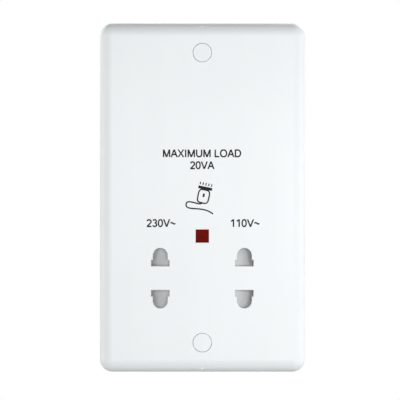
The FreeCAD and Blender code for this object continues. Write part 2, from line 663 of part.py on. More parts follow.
def contact_window(side, way):
    """Opening in the carrier's face in front of one spring contact."""
    return block(span(side * OUTLET_X, SLOT_WIDTH / 2 + CARRIER_WINDOW_GROWTH),
                 (CARRIER_FRONT, CARRIER_FRONT + CARRIER_FACE),
                 levels(HOLE_INNER - CARRIER_WINDOW_GROWTH, HOLE_REACH + CARRIER_WINDOW_GROWTH, way))


def contact_carrier():
    """Insulating block behind the shutter: contact pockets, spring pocket and switch seats."""
    half_width = HOUSING_HALF_WIDTH - HOUSING_WALL - CARRIER_PLAY
    y = (CARRIER_FRONT, CARRIER_BACK)
    body = rounded_block(span(0, half_width), y, levels(-RAIL_OUTER, RAIL_OUTER),
                         HOUSING_CORNER_RADIUS - HOUSING_WALL)
    spring_depth = SPRING_MIDDLE + SPRING_WIDTH / 2 + SPRING_PLAY
    cuts = []
    for side in SIDES:
        for way in SIDES:
            cuts += [contact_window(side, way), contact_pocket(side, way)]
    cuts.append(block(span(0, CARRIER_HOLLOW_HALF_WIDTH), (spring_depth + CARRIER_FACE, CARRIER_BACK),
                      levels(-CARRIER_HOLLOW_HALF_HEIGHT, CARRIER_HOLLOW_HALF_HEIGHT)))
    end_inner = OUTLET_X + CONTACT_WIDTH / 2 + CONTACT_PLAY + CARRIER_END_WALL
    for side in SIDES:
        ends = sorted((side * end_inner, side * (half_width - CARRIER_END_WALL)))
        cuts.append(block(ends, (CARRIER_FRONT + CARRIER_FACE, CARRIER_BACK),
                          levels(-CARRIER_HOLLOW_HALF_HEIGHT, CARRIER_HOLLOW_HALF_HEIGHT)))
    cuts.append(block(span(0, OUTLET_X), (CONTACT_BASE - CONTACT_PLAY, CARRIER_BACK),
                      levels(HOLE_REACH - LINK_HEIGHT - CONTACT_PLAY, HOLE_REACH + CONTACT_PLAY, -1)))
    cuts.append(spring_pocket((CARRIER_FRONT, spring_depth)))
    cuts += [line_strip_blank(STRIP_PLAY, STRIP_THICKNESS), load_strip_blank(STRIP_PLAY, STRIP_THICKNESS)]
    cuts += [line_tail(STRIP_PLAY), load_tail(STRIP_PLAY)]
    return body.cut(Part.makeCompound(cuts)).removeSplitter()


def contact_clip(side, way):
    """One spring contact: two leaves that grip a round pin, and a leaf that meets a flat blade."""
    middle = side * OUTLET_X
    base = CONTACT_BASE + CONTACT_STRIP / 2
    mouth = CARRIER_FRONT + CARRIER_FACE + CONTACT_MOUTH_GAP
    neck = mouth + CONTACT_NECK_DEPTH
    foot = (CONTACT_WIDTH - CONTACT_STRIP) / 2
    half_path = [(CONTACT_MOUTH, mouth), (CONTACT_GRIP + CONTACT_STRIP / 2, neck), (foot, base)]
    path = [(middle - x, y) for x, y in half_path] + [(middle + x, y) for x, y in half_path[::-1]]
    grips = strip_along_z(path, CONTACT_STRIP, levels(HOLE_REACH - CONTACT_LENGTH, HOLE_REACH, way))
    heel = HOLE_INNER - CONTACT_STRIP / 2
    plate = block(span(middle, foot), (CONTACT_BASE, CONTACT_BASE + CONTACT_STRIP),
                  levels(heel, HOLE_REACH, way))
    leaf_path = [(heel + CONTACT_STRIP / 2, base), (heel + BLADE_LEAF_BOW, neck), (heel, mouth)]
    leaf = strip_along_x(lifted(leaf_path, way), CONTACT_STRIP, span(middle, BLADE_LEAF_WIDTH / 2))
    return [grips, plate, leaf]


def solder_tag(middle, way):
    """Tag that stands out behind a contact for its lead."""
    return block(span(middle, SOLDER_TAG_WIDTH / 2),
                 (CONTACT_BASE, CARRIER_BACK + SOLDER_TAG_LENGTH),
                 levels(HOLE_REACH - CONTACT_STRIP, HOLE_REACH, way))


def outlet_contact(side):
    """Upper contact of one outlet, with its solder tag."""
    return fused(contact_clip(side, 1) + [solder_tag(side * OUTLET_X, 1)])


def contact_common():
    """Lower contacts of both outlets on one linking strip, with a solder tag."""
    link = block(span(0, OUTLET_X), (CONTACT_BASE, CONTACT_BASE + CONTACT_STRIP),
                 levels(HOLE_REACH - LINK_HEIGHT, HOLE_REACH, -1))
    return fused(contact_clip(-1, -1) + contact_clip(1, -1) + [link, solder_tag(0, -1)])


# Transformer
def core_e_stack():
    """E laminations: a yoke on top and three legs."""
    y = (CORE_FRONT, CORE_BACK)
    stack = block(span(0, CORE_HALF_WIDTH), y, (CORE_WINDOW_LOW, CORE_TOP))
    cuts = []
    for side in SIDES:
        window = sorted((side * CORE_UNIT_WIDTH, side * 2 * CORE_UNIT_WIDTH))
        cuts.append(block(window, y, (CORE_WINDOW_LOW, CORE_WINDOW_HIGH)))
        cuts.append(rod(CORE_HOLE_RADIUS, side * CORE_HOLE_X, CORE_HOLE_HEIGHTS[1], y))
    return stack.cut(Part.makeCompound(cuts))


def core_i_stack():
    """I laminations that close the legs from below."""
    y = (CORE_FRONT, CORE_BACK)
    stack = block(span(0, CORE_HALF_WIDTH), y, (CORE_BOTTOM, CORE_WINDOW_LOW))
    holes = [rod(CORE_HOLE_RADIUS, side * CORE_HOLE_X, CORE_HOLE_HEIGHTS[0], y) for side in SIDES]
    return stack.cut(Part.makeCompound(holes))


def bobbin_tube_half():
    """Half width and half depth of the bobbin's tube, outside."""
    reach = BOBBIN_PLAY + BOBBIN_WALL
    return CORE_UNIT_WIDTH + reach, CORE_STACK / 2 + reach


def chambers():
    """Heights of the lower and the upper winding chamber."""
    low = CORE_WINDOW_LOW + BOBBIN_PLAY
    high = CORE_WINDOW_HIGH - BOBBIN_PLAY
    middle = (low + high) / 2
    return ((low + BOBBIN_FLANGE, middle - BOBBIN_FLANGE / 2),
            (middle + BOBBIN_FLANGE / 2, high - BOBBIN_FLANGE))


def leg_block(half_width, half_depth, z):
    """Upright block centred on the core's middle leg."""
    return block(span(0, half_width), span(CORE_MIDDLE, half_depth), z)


def bobbin():
    """Split bobbin: a square tube on the middle leg with three flanges."""
    (low, gap_low), (gap_high, high) = chambers()
    tube = bobbin_tube_half()
    shapes = [leg_block(*tube, (low - BOBBIN_FLANGE, high + BOBBIN_FLANGE))]
    for z in ((low - BOBBIN_FLANGE, low), (gap_low, gap_high), (high, high + BOBBIN_FLANGE)):
        shapes.append(leg_block(COIL_HALF_WIDTH, COIL_HALF_DEPTH, z))
    bore = leg_block(CORE_UNIT_WIDTH + BOBBIN_PLAY, CORE_STACK / 2 + BOBBIN_PLAY, (CORE_BOTTOM, CORE_TOP))
    return fused(shapes).cut(bore)


def winding(chamber):
    """Taped coil that fills one chamber of the bobbin."""
    z = (chamber[0] + WINDING_PLAY, chamber[1] - WINDING_PLAY)
    coil = leg_block(COIL_HALF_WIDTH - WINDING_DROP, COIL_HALF_DEPTH - WINDING_DROP, z)
    corners = [edge for edge in coil.Edges if edge.BoundBox.ZLength > WINDING_PLAY]
    coil = coil.makeFillet(WINDING_CORNER, corners)
    tube_width, tube_depth = bobbin_tube_half()
    return coil.cut(leg_block(tube_width + WINDING_PLAY, tube_depth + WINDING_PLAY, z))


def thermal_cutout():
    """Self-resetting cut-out that lies against the back of the primary winding."""
    low, high = chambers()[1]
    body = block(span(0, CUTOUT_WIDTH / 2), (WINDING_BACK, WINDING_BACK + CUTOUT_THICKNESS),
                 span((low + high) / 2, CUTOUT_HEIGHT / 2))
    return body.makeChamfer(CUTOUT_BEVEL, edges_in_plane(body, WINDING_BACK + CUTOUT_THICKNESS))


# Rear housing, its terminals and screws
def housing_levels():
    """Outside and inside of each bay as (height pair, outer back, inner back)."""
    return (((HOUSING_BOTTOM, BAY_LOW + HOUSING_CORNER_RADIUS), CONTACT_BAY_BACK, CONTACT_BAY_BACK_INNER),
            ((BAY_LOW, BAY_HIGH), BAY_BACK, BAY_BACK_INNER),
            ((BAY_HIGH - HOUSING_CORNER_RADIUS, HOUSING_TOP), SHELF_HEIGHT, SHELF_HEIGHT - HOUSING_WALL))


def housing_bays(wall):
    """The three bays as one solid; with a wall thickness, the room inside them."""
    shapes = []
    heights = (HOUSING_BOTTOM + wall, HOUSING_TOP - wall)
    for z, outer, inner in housing_levels():
        low = max(z[0] + wall, heights[0])
        high = min(z[1] - wall, heights[1])
        if wall == 0 or z[0] == BAY_LOW:
            bounds = (low, high)
        elif z[0] < BAY_LOW:
            bounds = (low, z[1])
        else:
            bounds = (z[0], high)
        back = inner if wall else outer
        bay = rounded_block(span(0, HOUSING_HALF_WIDTH - wall), (FACE_INNER, back), bounds,
                            HOUSING_CORNER_RADIUS - wall)
        if wall == 0:
            bay = bay.makeChamfer(HOUSING_BEVEL, edges_in_plane(bay, back))
        shapes.append(bay)
    return fused(shapes)


def housing_ear(x, z):
    """Screw ear on the upper wall of the housing."""
    web = block(span(x, EAR_RADIUS), (0, EAR_THICKNESS), (HOUSING_TOP - HOUSING_WALL / 2, z))
    return [rod(EAR_RADIUS, x, z, (0, EAR_THICKNESS)), web]


def housing_hook(x, growth):
    """Tongue on the lower wall of the housing, which lies on the back of the face under a catch."""
    return block(span(x, HOOK_WIDTH / 2 + growth), (FACE_INNER, FACE_INNER + HOOK_THICKNESS + growth),
                 (HOUSING_BOTTOM - HOOK_REACH - growth, HOUSING_BOTTOM + HOUSING_WALL / 2))


def terminal_barriers():
    """Walls each side of a terminal on the shelf."""
    reach = TERMINAL_WIDTH / 2 + TERMINAL_PLAY + BARRIER_WALL / 2
    shapes = []
    for place in TERMINAL_PLACES.values():
        for side in SIDES:
            shapes.append(block(span(place + side * reach, BARRIER_WALL / 2),
                                (SHELF_HEIGHT - HOUSING_WALL, SHELF_HEIGHT + TERMINAL_DEPTH - BARRIER_DROP),
                                (BAY_HIGH - HOUSING_WALL / 2, HOUSING_TOP)))
    return shapes


def core_hold_downs():
    """Pillars that press the core onto the plate's posts."""
    return [block(span(x, CORE_POST / 2), (CORE_BACK, BAY_BACK - HOUSING_WALL / 2), span(z, CORE_POST / 2))
            for x in (-CORE_HOLE_X, CORE_HOLE_X) for z in CORE_HOLE_HEIGHTS]


def carrier_hold_downs():
    """Pillars that press the carrier onto the shutter rails."""
    return [block(span(side * OUTLET_X, HOLD_DOWN / 2), (CARRIER_BACK, CONTACT_BAY_BACK - HOUSING_WALL / 2),
                  span(OUTLET_Z, HOLD_DOWN / 2)) for side in SIDES]


def housing_vents():
    """Row of slots over the windings."""
    first = -VENT_PITCH * (VENT_COUNT - 1) / 2
    return [block(span(first + i * VENT_PITCH, VENT_WIDTH / 2), (BAY_BACK_INNER, BAY_BACK),
                  span(CORE_CENTRE, VENT_LENGTH / 2)) for i in range(VENT_COUNT)]


def rear_housing():
    """Moulded rear cover with a contact bay, a deep transformer bay and a terminal shelf."""
    shell = housing_bays(0).cut(housing_bays(HOUSING_WALL))
    shapes = [shell] + terminal_barriers() + core_hold_downs() + carrier_hold_downs()
    for x, z in EARS:
        shapes += housing_ear(x, z)
        shapes.append(housing_hook(x, 0))
    cuts = housing_vents()
    for x, z in EARS:
        cuts.append(rod(HOUSING_SCREW_RADIUS + HOUSING_SCREW_HOLE_PLAY, x, z, (0, EAR_THICKNESS)))
    for place in TERMINAL_PLACES.values():
        cuts.append(block(span(place, TERMINAL_TAG_WIDTH / 2 + TERMINAL_PLAY), (0, SHELF_HEIGHT),
                          span(TERMINAL_MIDDLE, TERMINAL_TAG_THICKNESS / 2 + TERMINAL_PLAY)))
    return fused(shapes).cut(Part.makeCompound(cuts)).removeSplitter()


def housing_screw(x, z):
    """Cross-head self-tapping screw through an ear into its boss."""
    top = EAR_THICKNESS + HOUSING_HEAD_HEIGHT
    head = rod(HOUSING_HEAD_RADIUS, x, z, (EAR_THICKNESS, top))
    shank = rod(HOUSING_SCREW_RADIUS, x, z, (EAR_THICKNESS - HOUSING_SCREW_LENGTH, EAR_THICKNESS))
    long, short = CROSS_SLOT_LENGTH / 2, CROSS_SLOT_WIDTH / 2
    floor = (top - SCREW_SLOT_DEPTH, top)
    cross = [block(span(x, long), floor, span(z, short)), block(span(x, short), floor, span(z, long))]
    return head.fuse(shank).cut(Part.makeCompound(cross)).removeSplitter()


def terminal(place):
    """Brass pillar terminal: a wire bore from above, a clamp screw hole and a tag through the shelf."""
    body = block(span(place, TERMINAL_WIDTH / 2), (SHELF_HEIGHT, SHELF_HEIGHT + TERMINAL_DEPTH),
                 (TERMINAL_LOW, TERMINAL_TOP))
    corners = [edge for edge in body.Edges if edge.BoundBox.ZLength > TERMINAL_HEIGHT / 2]
    body = body.makeChamfer(TERMINAL_BEVEL, corners)
    tag = block(span(place, TERMINAL_TAG_WIDTH / 2), (SHELF_HEIGHT - TERMINAL_TAG_LENGTH, SHELF_HEIGHT),
                span(TERMINAL_MIDDLE, TERMINAL_TAG_THICKNESS / 2))
    bore = Part.makeCylinder(WIRE_BORE_RADIUS, WIRE_BORE_DEPTH,
                             Vector(place, WIRE_BORE_Y, TERMINAL_TOP - WIRE_BORE_DEPTH), UPWARDS)
    screw_hole = rod(CLAMP_SCREW_RADIUS + CLAMP_SCREW_PLAY, place, TERMINAL_MIDDLE,
                     (WIRE_BORE_Y, SHELF_HEIGHT + TERMINAL_DEPTH))
    return body.fuse(tag).cut(Part.makeCompound([bore, screw_hole])).removeSplitter()


def terminal_screw(place):
    """Slotted headless screw, backed off so that its tip stands clear of the wire bore."""
    tip = WIRE_BORE_Y + WIRE_BORE_RADIUS + CLAMP_SCREW_CLEAR
    top = tip + CLAMP_SCREW_LENGTH
    slot = block(span(place, CLAMP_SCREW_RADIUS), (top - SCREW_SLOT_DEPTH, top),
                 span(TERMINAL_MIDDLE, SCREW_SLOT_WIDTH / 2))
    return rod(CLAMP_SCREW_RADIUS, place, TERMINAL_MIDDLE, (tip, top)).cut(slot)


def all_parts():
    """Every node's shape by its name."""
    parts = {
        "front_plate": front_plate(),
        "screw_cap_upper": screw_cap(1),
        "screw_cap_lower": screw_cap(-1),
        "fixing_screws": Part.makeCompound([fixing_screw(side) for side in SIDES]),
        "neon_lens": neon_lens(),
        "neon_lamp": neon_lamp(),
        "neon_resistor": neon_resistor(),
        "shutter": shutter(),
        "centring_spring": centring_spring(),
        "switch_bridge": switch_bridge(),
        "switch_strip_line": switch_strip_line(),
        "switch_strip_load": switch_strip_load(),
        "contact_carrier": contact_carrier(),
        "contact_230v": outlet_contact(-1),
        "contact_110v": outlet_contact(1),
        "contact_common": contact_common(),
        "core_e_stack": core_e_stack(),
        "core_i_stack": core_i_stack(),
        "bobbin": bobbin(),
        "secondary_winding": winding(chambers()[0]),
        "primary_winding": winding(chambers()[1]),
        "thermal_cutout": thermal_cutout(),
        "rear_housing": rear_housing(),
        "housing_screws": Part.makeCompound([housing_screw(x, z) for x, z in EARS]),
        "terminal_screws": Part.makeCompound([terminal_screw(x) for x in TERMINAL_PLACES.values()]),
    }
    for name, place in TERMINAL_PLACES.items():
        parts[name] = terminal(place)
    return parts


def main():
    """Build every node and write it to its own file."""
    os.makedirs("parts", exist_ok=True)
    for name, shape in all_parts().items():
        shape.exportStep(f"parts/{name}.step")
        print(f"{name}: {len(shape.Solids)} solids, {shape.Volume:.1f} mm3, valid {shape.isValid()}")


main()
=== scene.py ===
"""Dressed scene of a dual-voltage shaver socket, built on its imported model.

X is to the right, Y into the wall and Z up, in metres. The wall is the plane Y = 0 and the plate's
face looks along -Y.
"""

import logging
import math
from dataclasses import dataclass
from enum import Enum
from typing import Any

import bmesh
import bpy
import numpy as np
from bpy.types import Material, Node, NodeTree, Object, World
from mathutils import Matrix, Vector
from mathutils.geometry import delaunay_2d_cdt

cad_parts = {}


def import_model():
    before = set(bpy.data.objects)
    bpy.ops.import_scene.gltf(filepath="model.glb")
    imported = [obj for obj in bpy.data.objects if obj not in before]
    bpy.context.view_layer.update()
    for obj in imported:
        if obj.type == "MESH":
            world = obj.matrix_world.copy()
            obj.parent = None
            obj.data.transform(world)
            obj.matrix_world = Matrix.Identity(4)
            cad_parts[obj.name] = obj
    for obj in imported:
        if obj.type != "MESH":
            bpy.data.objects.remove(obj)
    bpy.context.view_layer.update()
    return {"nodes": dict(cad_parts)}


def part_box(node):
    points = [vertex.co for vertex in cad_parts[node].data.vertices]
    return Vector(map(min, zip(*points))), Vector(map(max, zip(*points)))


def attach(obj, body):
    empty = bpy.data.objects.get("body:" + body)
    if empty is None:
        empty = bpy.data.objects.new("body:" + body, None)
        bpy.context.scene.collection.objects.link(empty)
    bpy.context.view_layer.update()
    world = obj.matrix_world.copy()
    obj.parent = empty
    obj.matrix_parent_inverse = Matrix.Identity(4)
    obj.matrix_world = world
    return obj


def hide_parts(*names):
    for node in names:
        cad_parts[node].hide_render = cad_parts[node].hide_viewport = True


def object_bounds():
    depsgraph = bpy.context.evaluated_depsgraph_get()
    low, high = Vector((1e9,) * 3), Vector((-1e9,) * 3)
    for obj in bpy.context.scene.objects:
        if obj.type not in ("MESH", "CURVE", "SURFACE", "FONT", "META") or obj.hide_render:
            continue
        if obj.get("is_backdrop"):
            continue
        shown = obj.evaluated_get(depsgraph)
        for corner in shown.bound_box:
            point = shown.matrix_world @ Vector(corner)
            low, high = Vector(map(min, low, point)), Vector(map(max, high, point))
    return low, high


LOG = logging.getLogger("shaver_socket")
MM = 0.001
BODY = "socket"
Colour = tuple[float, float, float]
Point = tuple[float, float, float]
Spot = tuple[float, float]
Socket = bpy.types.NodeSocket
Array = np.ndarray
WHITE: Colour = (1.0, 1.0, 1.0)


class Axis(Enum):
    """Stretch of a pattern that runs along one axis: lengths along it count for little."""

    X = (0.04, 1.0, 1.0)
    Y = (1.0, 0.04, 1.0)
    Z = (1.0, 1.0, 0.04)


def opaque(colour: Colour) -> tuple[float, float, float, float]:
    """Colour with full alpha."""
    return (*colour, 1.0)


class ShaderTree:
    """Short way to place and link nodes in one shader tree."""

    def __init__(self, tree: NodeTree) -> None:
        """Keep the tree that nodes go into."""
        self.tree = tree

    @classmethod
    def fresh(cls, holder: Material | World) -> "ShaderTree":
        """Emptied tree of a material or a world."""
        holder.use_nodes = True
        holder.node_tree.nodes.clear()
        return cls(holder.node_tree)

    def add(self, kind: str, inputs: dict[Any, Any] | None = None, **settings: Any) -> Node:
        """Place a node.

        Args:
            kind: Blender's type name of the node.
            inputs: socket name or number to a value, or to an output socket that is linked.
            settings: the node's own properties.

        Returns:
            The new node.
        """
        node = self.tree.nodes.new(kind)
        for name, value in settings.items():
            setattr(node, name, value)
        for socket, value in (inputs or {}).items():
            if isinstance(value, Socket):
                self.tree.links.new(value, node.inputs[socket])
            else:
                node.inputs[socket].default_value = value
        return node

    def group(self, group: NodeTree, **inputs: Any) -> Socket:
        """Output of a shared node group, placed with its inputs."""
        return self.add("ShaderNodeGroup", inputs, node_tree=group).outputs[0]

    def math(self, operation: str, *values: Any) -> Socket:
        """Value of one Math node."""
        return self.add("ShaderNodeMath", dict(enumerate(values)), operation=operation).outputs[0]

    def noise(self, vector: Socket, scale: Any, detail: float = 2.0) -> Socket:
        """Value of one noise, between 0 and 1."""
        return self.add("ShaderNodeTexNoise", {"Vector": vector, "Scale": scale, "Detail": detail}).outputs[0]

    def blend(self, share: Any, low: Any, high: Any) -> Socket:
        """Colour between low and high by share."""
        return self.add("ShaderNodeMix", {0: share, 6: low, 7: high}, data_type="RGBA").outputs[2]

    def spread(self, value: Socket, start: Any, end: Any) -> Socket:
        """Value stretched smoothly from start..end to 0..1."""
        inputs = {0: value, 1: start, 2: end}
        return self.add("ShaderNodeMapRange", inputs, interpolation_type="SMOOTHSTEP").outputs[0]

    def place(self) -> Socket:
        """Object coordinates, in metres in the shared frame."""
        return self.add("ShaderNodeTexCoord").outputs["Object"]

    def stretched(self, vector: Socket, axis: Axis) -> Socket:
        """Coordinates drawn out along one axis."""
        return self.add("ShaderNodeMapping", {"Vector": vector, "Scale": axis.value}).outputs[0]

    def along(self, vector: Socket, axis: str) -> Socket:
        """One coordinate of a vector."""
        return self.add("ShaderNodeSeparateXYZ", {0: vector}).outputs[axis]


class GroupTree(ShaderTree):
    """Shader tree of a new node group, with what it is given and the one value that it puts out."""

    def __init__(self, name: str, result: str, kind: str, **inputs: str) -> None:
        """Start the group.

        Args:
            name: the group's name.
            result: name of the value that it puts out.
            kind: type of that value, such as Float.
            inputs: name of each value that it is given, to its type.
        """
        super().__init__(bpy.data.node_groups.new(name, "ShaderNodeTree"))
        for label, form in inputs.items():
            self.tree.interface.new_socket(label, in_out="INPUT", socket_type="NodeSocket" + form)
        self.tree.interface.new_socket(result, in_out="OUTPUT", socket_type="NodeSocket" + kind)
        self.given = self.add("NodeGroupInput").outputs
        self.out = self.add("NodeGroupOutput").inputs[result]

    def ended(self, value: Socket) -> NodeTree:
        """Group that puts out the value."""
        self.tree.links.new(value, self.out)
        return self.tree


class Effects:
    """Node groups that several finishes share."""

    MOTTLE_RANGE: Spot = (0.3, 0.7)
    FINER: float = 3.3
    FINE_SHARE: float = 0.35
    RUB_RANGE: Spot = (0.35, 0.65)
    HAIR_FINENESS: float = 9.0
    HAIR_SHARE: float = 0.4

    def __init__(self) -> None:
        """Build every group once."""
        self.mottle = self._mottle()
        self.grain = self._grain()
        self.rubbing = self._rubbing()
        self.seams = self._seams()

    def _mottle(self) -> NodeTree:
        """Slow drift between two close colours, as uneven pigment or tarnish gives."""
        tree = GroupTree("soft_mottle", "Colour", "Color", Vector="Vector", Scale="Float", Light="Color",
                         Dark="Color")
        noise = tree.noise(tree.given["Vector"], tree.given["Scale"], detail=4.0)
        share = tree.spread(noise, *self.MOTTLE_RANGE)
        return tree.ended(tree.blend(share, tree.given["Dark"], tree.given["Light"]))

    def _grain(self) -> NodeTree:
        """Height of a fine moulded or rolled texture: one noise with a finer one laid over it."""
        tree = GroupTree("fine_grain", "Height", "Float", Vector="Vector", Scale="Float")
        vector, scale = tree.given["Vector"], tree.given["Scale"]
        fine = tree.noise(vector, tree.math("MULTIPLY", scale, self.FINER), detail=1.0)
        return tree.ended(tree.math("MULTIPLY_ADD", fine, self.FINE_SHARE, tree.noise(vector, scale)))

    def _rubbing(self) -> NodeTree:
        """Roughness between two values, in patches crossed by fine hairlines."""
        tree = GroupTree("rubbed_patches", "Roughness", "Float", Vector="Vector", Scale="Float",
                         Smooth="Float", Rough="Float")
        vector, scale = tree.given["Vector"], tree.given["Scale"]
        hair = tree.noise(tree.stretched(vector, Axis.Z), tree.math("MULTIPLY", scale, self.HAIR_FINENESS))
        patch = tree.math("MULTIPLY", tree.noise(vector, scale, detail=5.0), 1 - self.HAIR_SHARE)
        share = tree.math("MULTIPLY_ADD", hair, self.HAIR_SHARE, patch)
        low, high = self.RUB_RANGE
        inputs = {0: share, 1: low, 2: high, 3: tree.given["Smooth"], 4: tree.given["Rough"]}
        return tree.ended(tree.add("ShaderNodeMapRange", inputs).outputs[0])

    def _seams(self) -> NodeTree:
        """Mask of thin lines across one coordinate at an even pitch, as between sheets or turns of tape."""
        tree = GroupTree("even_seams", "Mask", "Float", Distance="Float", Pitch="Float", Width="Float")
        turn = tree.math("FRACT", tree.math("DIVIDE", tree.given["Distance"], tree.given["Pitch"]))
        off_seam = tree.math("ABSOLUTE", tree.math("SUBTRACT", turn, 0.5))
        return tree.ended(tree.spread(off_seam, tree.given["Width"], 0.0))


@dataclass(frozen=True)
class Finish:
    """Plain finish: a name, two close colours, a range of roughness and a fine grain.

    Lengths are in millimetres: mottle and grain are the sizes of their patches, depth is the grain's height.
    gloss is the shader's specular level, and rub is how fine rubbed patches are against mottled ones.
    """

    name: str
    light: Colour
    dark: Colour
    smooth: float
    rough: float
    grain: float
    depth: float
    mottle: float = 20.0
    gloss: float = 0.5
    rub: float = 0.4

    def pattern(self, tree: ShaderTree, effects: Effects, place: Socket) -> tuple[Socket, Socket]:
        """What varies over the surface.

        Args:
            tree: the material's tree.
            effects: the shared node groups.
            place: coordinates of the surface.

        Returns:
            A colour that drifts between the finish's two, and the grain's height.
        """
        colour = tree.group(effects.mottle, Vector=place, Scale=1 / (self.mottle * MM),
                            Light=opaque(self.light), Dark=opaque(self.dark))
        return colour, tree.group(effects.grain, Vector=place, Scale=1 / (self.grain * MM))

    def constants(self) -> dict[str, float]:
        """Values of the shader that are the same all over the surface."""
        return {"Specular IOR Level": self.gloss}

    def material(self, effects: Effects) -> Material:
        """Material with the finish's colour, rubbed roughness and grain, on Object coordinates.

        Args:
            effects: the shared node groups.

        Returns:
            The new material.
        """
        material = bpy.data.materials.new(self.name)
        tree = ShaderTree.fresh(material)
        place = tree.place()
        colour, height = self.pattern(tree, effects, place)
        rubbed = tree.group(effects.rubbing, Vector=place, Scale=self.rub / (self.mottle * MM),
                            Smooth=self.smooth, Rough=self.rough)
        bump = tree.add("ShaderNodeBump", {"Strength": 1.0, "Distance": self.depth * MM, "Height": height})
        shader = tree.add("ShaderNodeBsdfPrincipled", {
            "Base Color": colour, "Roughness": rubbed, "Normal": bump.outputs[0], **self.constants()})
        tree.add("ShaderNodeOutputMaterial", {"Surface": shader.outputs[0]})
        return material


@dataclass(frozen=True)
class DrawnMetal(Finish):
    """Drawn, rolled or turned metal, whose mottle and grain run along one axis."""

    axis: Axis = Axis.Y

    def pattern(self, tree: ShaderTree, effects: Effects, place: Socket) -> tuple[Socket, Socket]:
        """Mottle and grain drawn out along the axis."""
        return super().pattern(tree, effects, tree.stretched(place, self.axis))

    def constants(self) -> dict[str, float]:
        """Bare metal."""
        return {**super().constants(), "Metallic": 1.0}


@dataclass(frozen=True)
class Seamed(Finish):
    """Stacked sheets or wound tape, crossed by lines of another colour at an even pitch along one axis.

    width is the lines' share of half a pitch, and rise their height in heights of the grain, below 0 if sunk.
    wander is how far the lines stray, as tape does that was led by hand.
    """

    across: str = "Z"
    pitch: float = 1.0
    seam: Colour = WHITE
    width: float = 0.1
    rise: float = 1.0
    wander: float = 0.0
    wander_scale: float = 90.0
    metallic: float = 0.0

    def pattern(self, tree: ShaderTree, effects: Effects, place: Socket) -> tuple[Socket, Socket]:
        """Mottle with the lines drawn over it, and grain with them sunk in it or raised over it."""
        colour, height = super().pattern(tree, effects, place)
        stray = tree.noise(place, self.wander_scale)
        distance = tree.math("MULTIPLY_ADD", stray, self.wander * MM, tree.along(place, self.across))
        seams = tree.group(effects.seams, Distance=distance, Pitch=self.pitch * MM, Width=self.width)
        colour = tree.blend(seams, colour, opaque(self.seam))
        return colour, tree.math("MULTIPLY_ADD", seams, self.rise, height)

    def constants(self) -> dict[str, float]:
        """Metal under its varnish, or none."""
        return {**super().constants(), "Metallic": self.metallic}


@dataclass(frozen=True)
class ClearMoulding(Finish):
    """See-through glass or plastic, tinted in its depth."""

    transmission: float = 0.9
    ior: float = 1.5

    def constants(self) -> dict[str, float]:
        """Clear body."""
        return {**super().constants(), "Transmission Weight": self.transmission, "IOR": self.ior}


@dataclass(frozen=True)
class BandedLacquer(Finish):
    """Lacquered rod with coloured bands across X, each a colour and the band's start and end."""

    bands: tuple[tuple[Colour, float, float], ...] = ()

    def pattern(self, tree: ShaderTree, effects: Effects, place: Socket) -> tuple[Socket, Socket]:
        """Lacquer with its bands painted round it, and plain grain."""
        colour, height = super().pattern(tree, effects, place)
        across = tree.along(place, "X")
        for paint, start, end in self.bands:
            inside = tree.math("COMPARE", across, (start + end) / 2 * MM, (end - start) / 2 * MM)
            colour = tree.blend(inside, colour, opaque(paint))
        return colour, height


FACE = Finish("face_white", (0.86, 0.89, 0.9), (0.845, 0.877, 0.888), 0.38, 0.46, 1.1, 0.003, 35, gloss=0.4)
CAP = Finish("cap_white", (0.855, 0.886, 0.897), (0.84, 0.872, 0.884), 0.38, 0.48, 0.9, 0.003, 12, gloss=0.4)
SHUTTER = Finish("shutter_white", (0.84, 0.855, 0.86), (0.8, 0.815, 0.825), 0.4, 0.56, 0.35, 0.004, 9)
HOUSING = Finish("housing_white", (0.8, 0.81, 0.8), (0.74, 0.755, 0.745), 0.42, 0.62, 0.3, 0.02, 22)
CARRIER = Finish("carrier_cream", (0.76, 0.74, 0.66), (0.68, 0.66, 0.58), 0.4, 0.6, 0.3, 0.012)
BOBBIN = Finish("bobbin_black", (0.045, 0.045, 0.05), (0.02, 0.02, 0.023), 0.35, 0.6, 0.25, 0.015)
CUTOUT = Finish("cutout_black", (0.05, 0.05, 0.054), (0.025, 0.025, 0.028), 0.3, 0.5, 0.25, 0.01)
INK = Finish("print_black", (0.014, 0.014, 0.016), (0.007, 0.007, 0.009), 0.4, 0.6, 0.12, 0.002, 1.5,
             gloss=0.1)
LENS = ClearMoulding("lens_red", (0.18, 0.005, 0.0015), (0.14, 0.0035, 0.001), 0.3, 0.4, 0.6, 0.005, 2,
                     gloss=0.02, transmission=0.06, ior=1.2)
GLASS = ClearMoulding("lamp_glass", (0.93, 0.92, 0.9), (0.86, 0.84, 0.8), 0.03, 0.08, 1.2, 0.004, 3,
                      transmission=0.92)
ZINC = DrawnMetal("zinc_plate", (0.74, 0.75, 0.76), (0.56, 0.56, 0.53), 0.24, 0.42, 0.16, 0.006, 2.5)
SPRING = DrawnMetal("spring_strip", (0.6, 0.6, 0.62), (0.42, 0.42, 0.45), 0.25, 0.4, 0.1, 0.004, 3,
                    axis=Axis.X)
BRONZE = DrawnMetal("contact_bronze", (0.78, 0.53, 0.3), (0.55, 0.34, 0.18), 0.25, 0.45, 0.12, 0.005, 4)
BRASS = DrawnMetal("terminal_brass", (0.83, 0.66, 0.34), (0.64, 0.46, 0.2), 0.22, 0.4, 0.14, 0.008, 3,
                   axis=Axis.X)
CORE = Seamed("core_sheets", (0.3, 0.3, 0.32), (0.19, 0.17, 0.16), 0.3, 0.5, 0.3, 0.01, 9,
              across="Y", pitch=0.5, seam=(0.03, 0.03, 0.035), width=0.16, rise=-4.0, metallic=0.75)
TAPE = Seamed("winding_tape", (0.82, 0.6, 0.12), (0.7, 0.46, 0.08), 0.18, 0.32, 0.8, 0.02, 9,
              across="Z", pitch=3.6, seam=(0.5, 0.3, 0.05), width=0.06, rise=2.0, wander=0.8)
BARE_LEAD: Colour = (0.6, 0.6, 0.62)
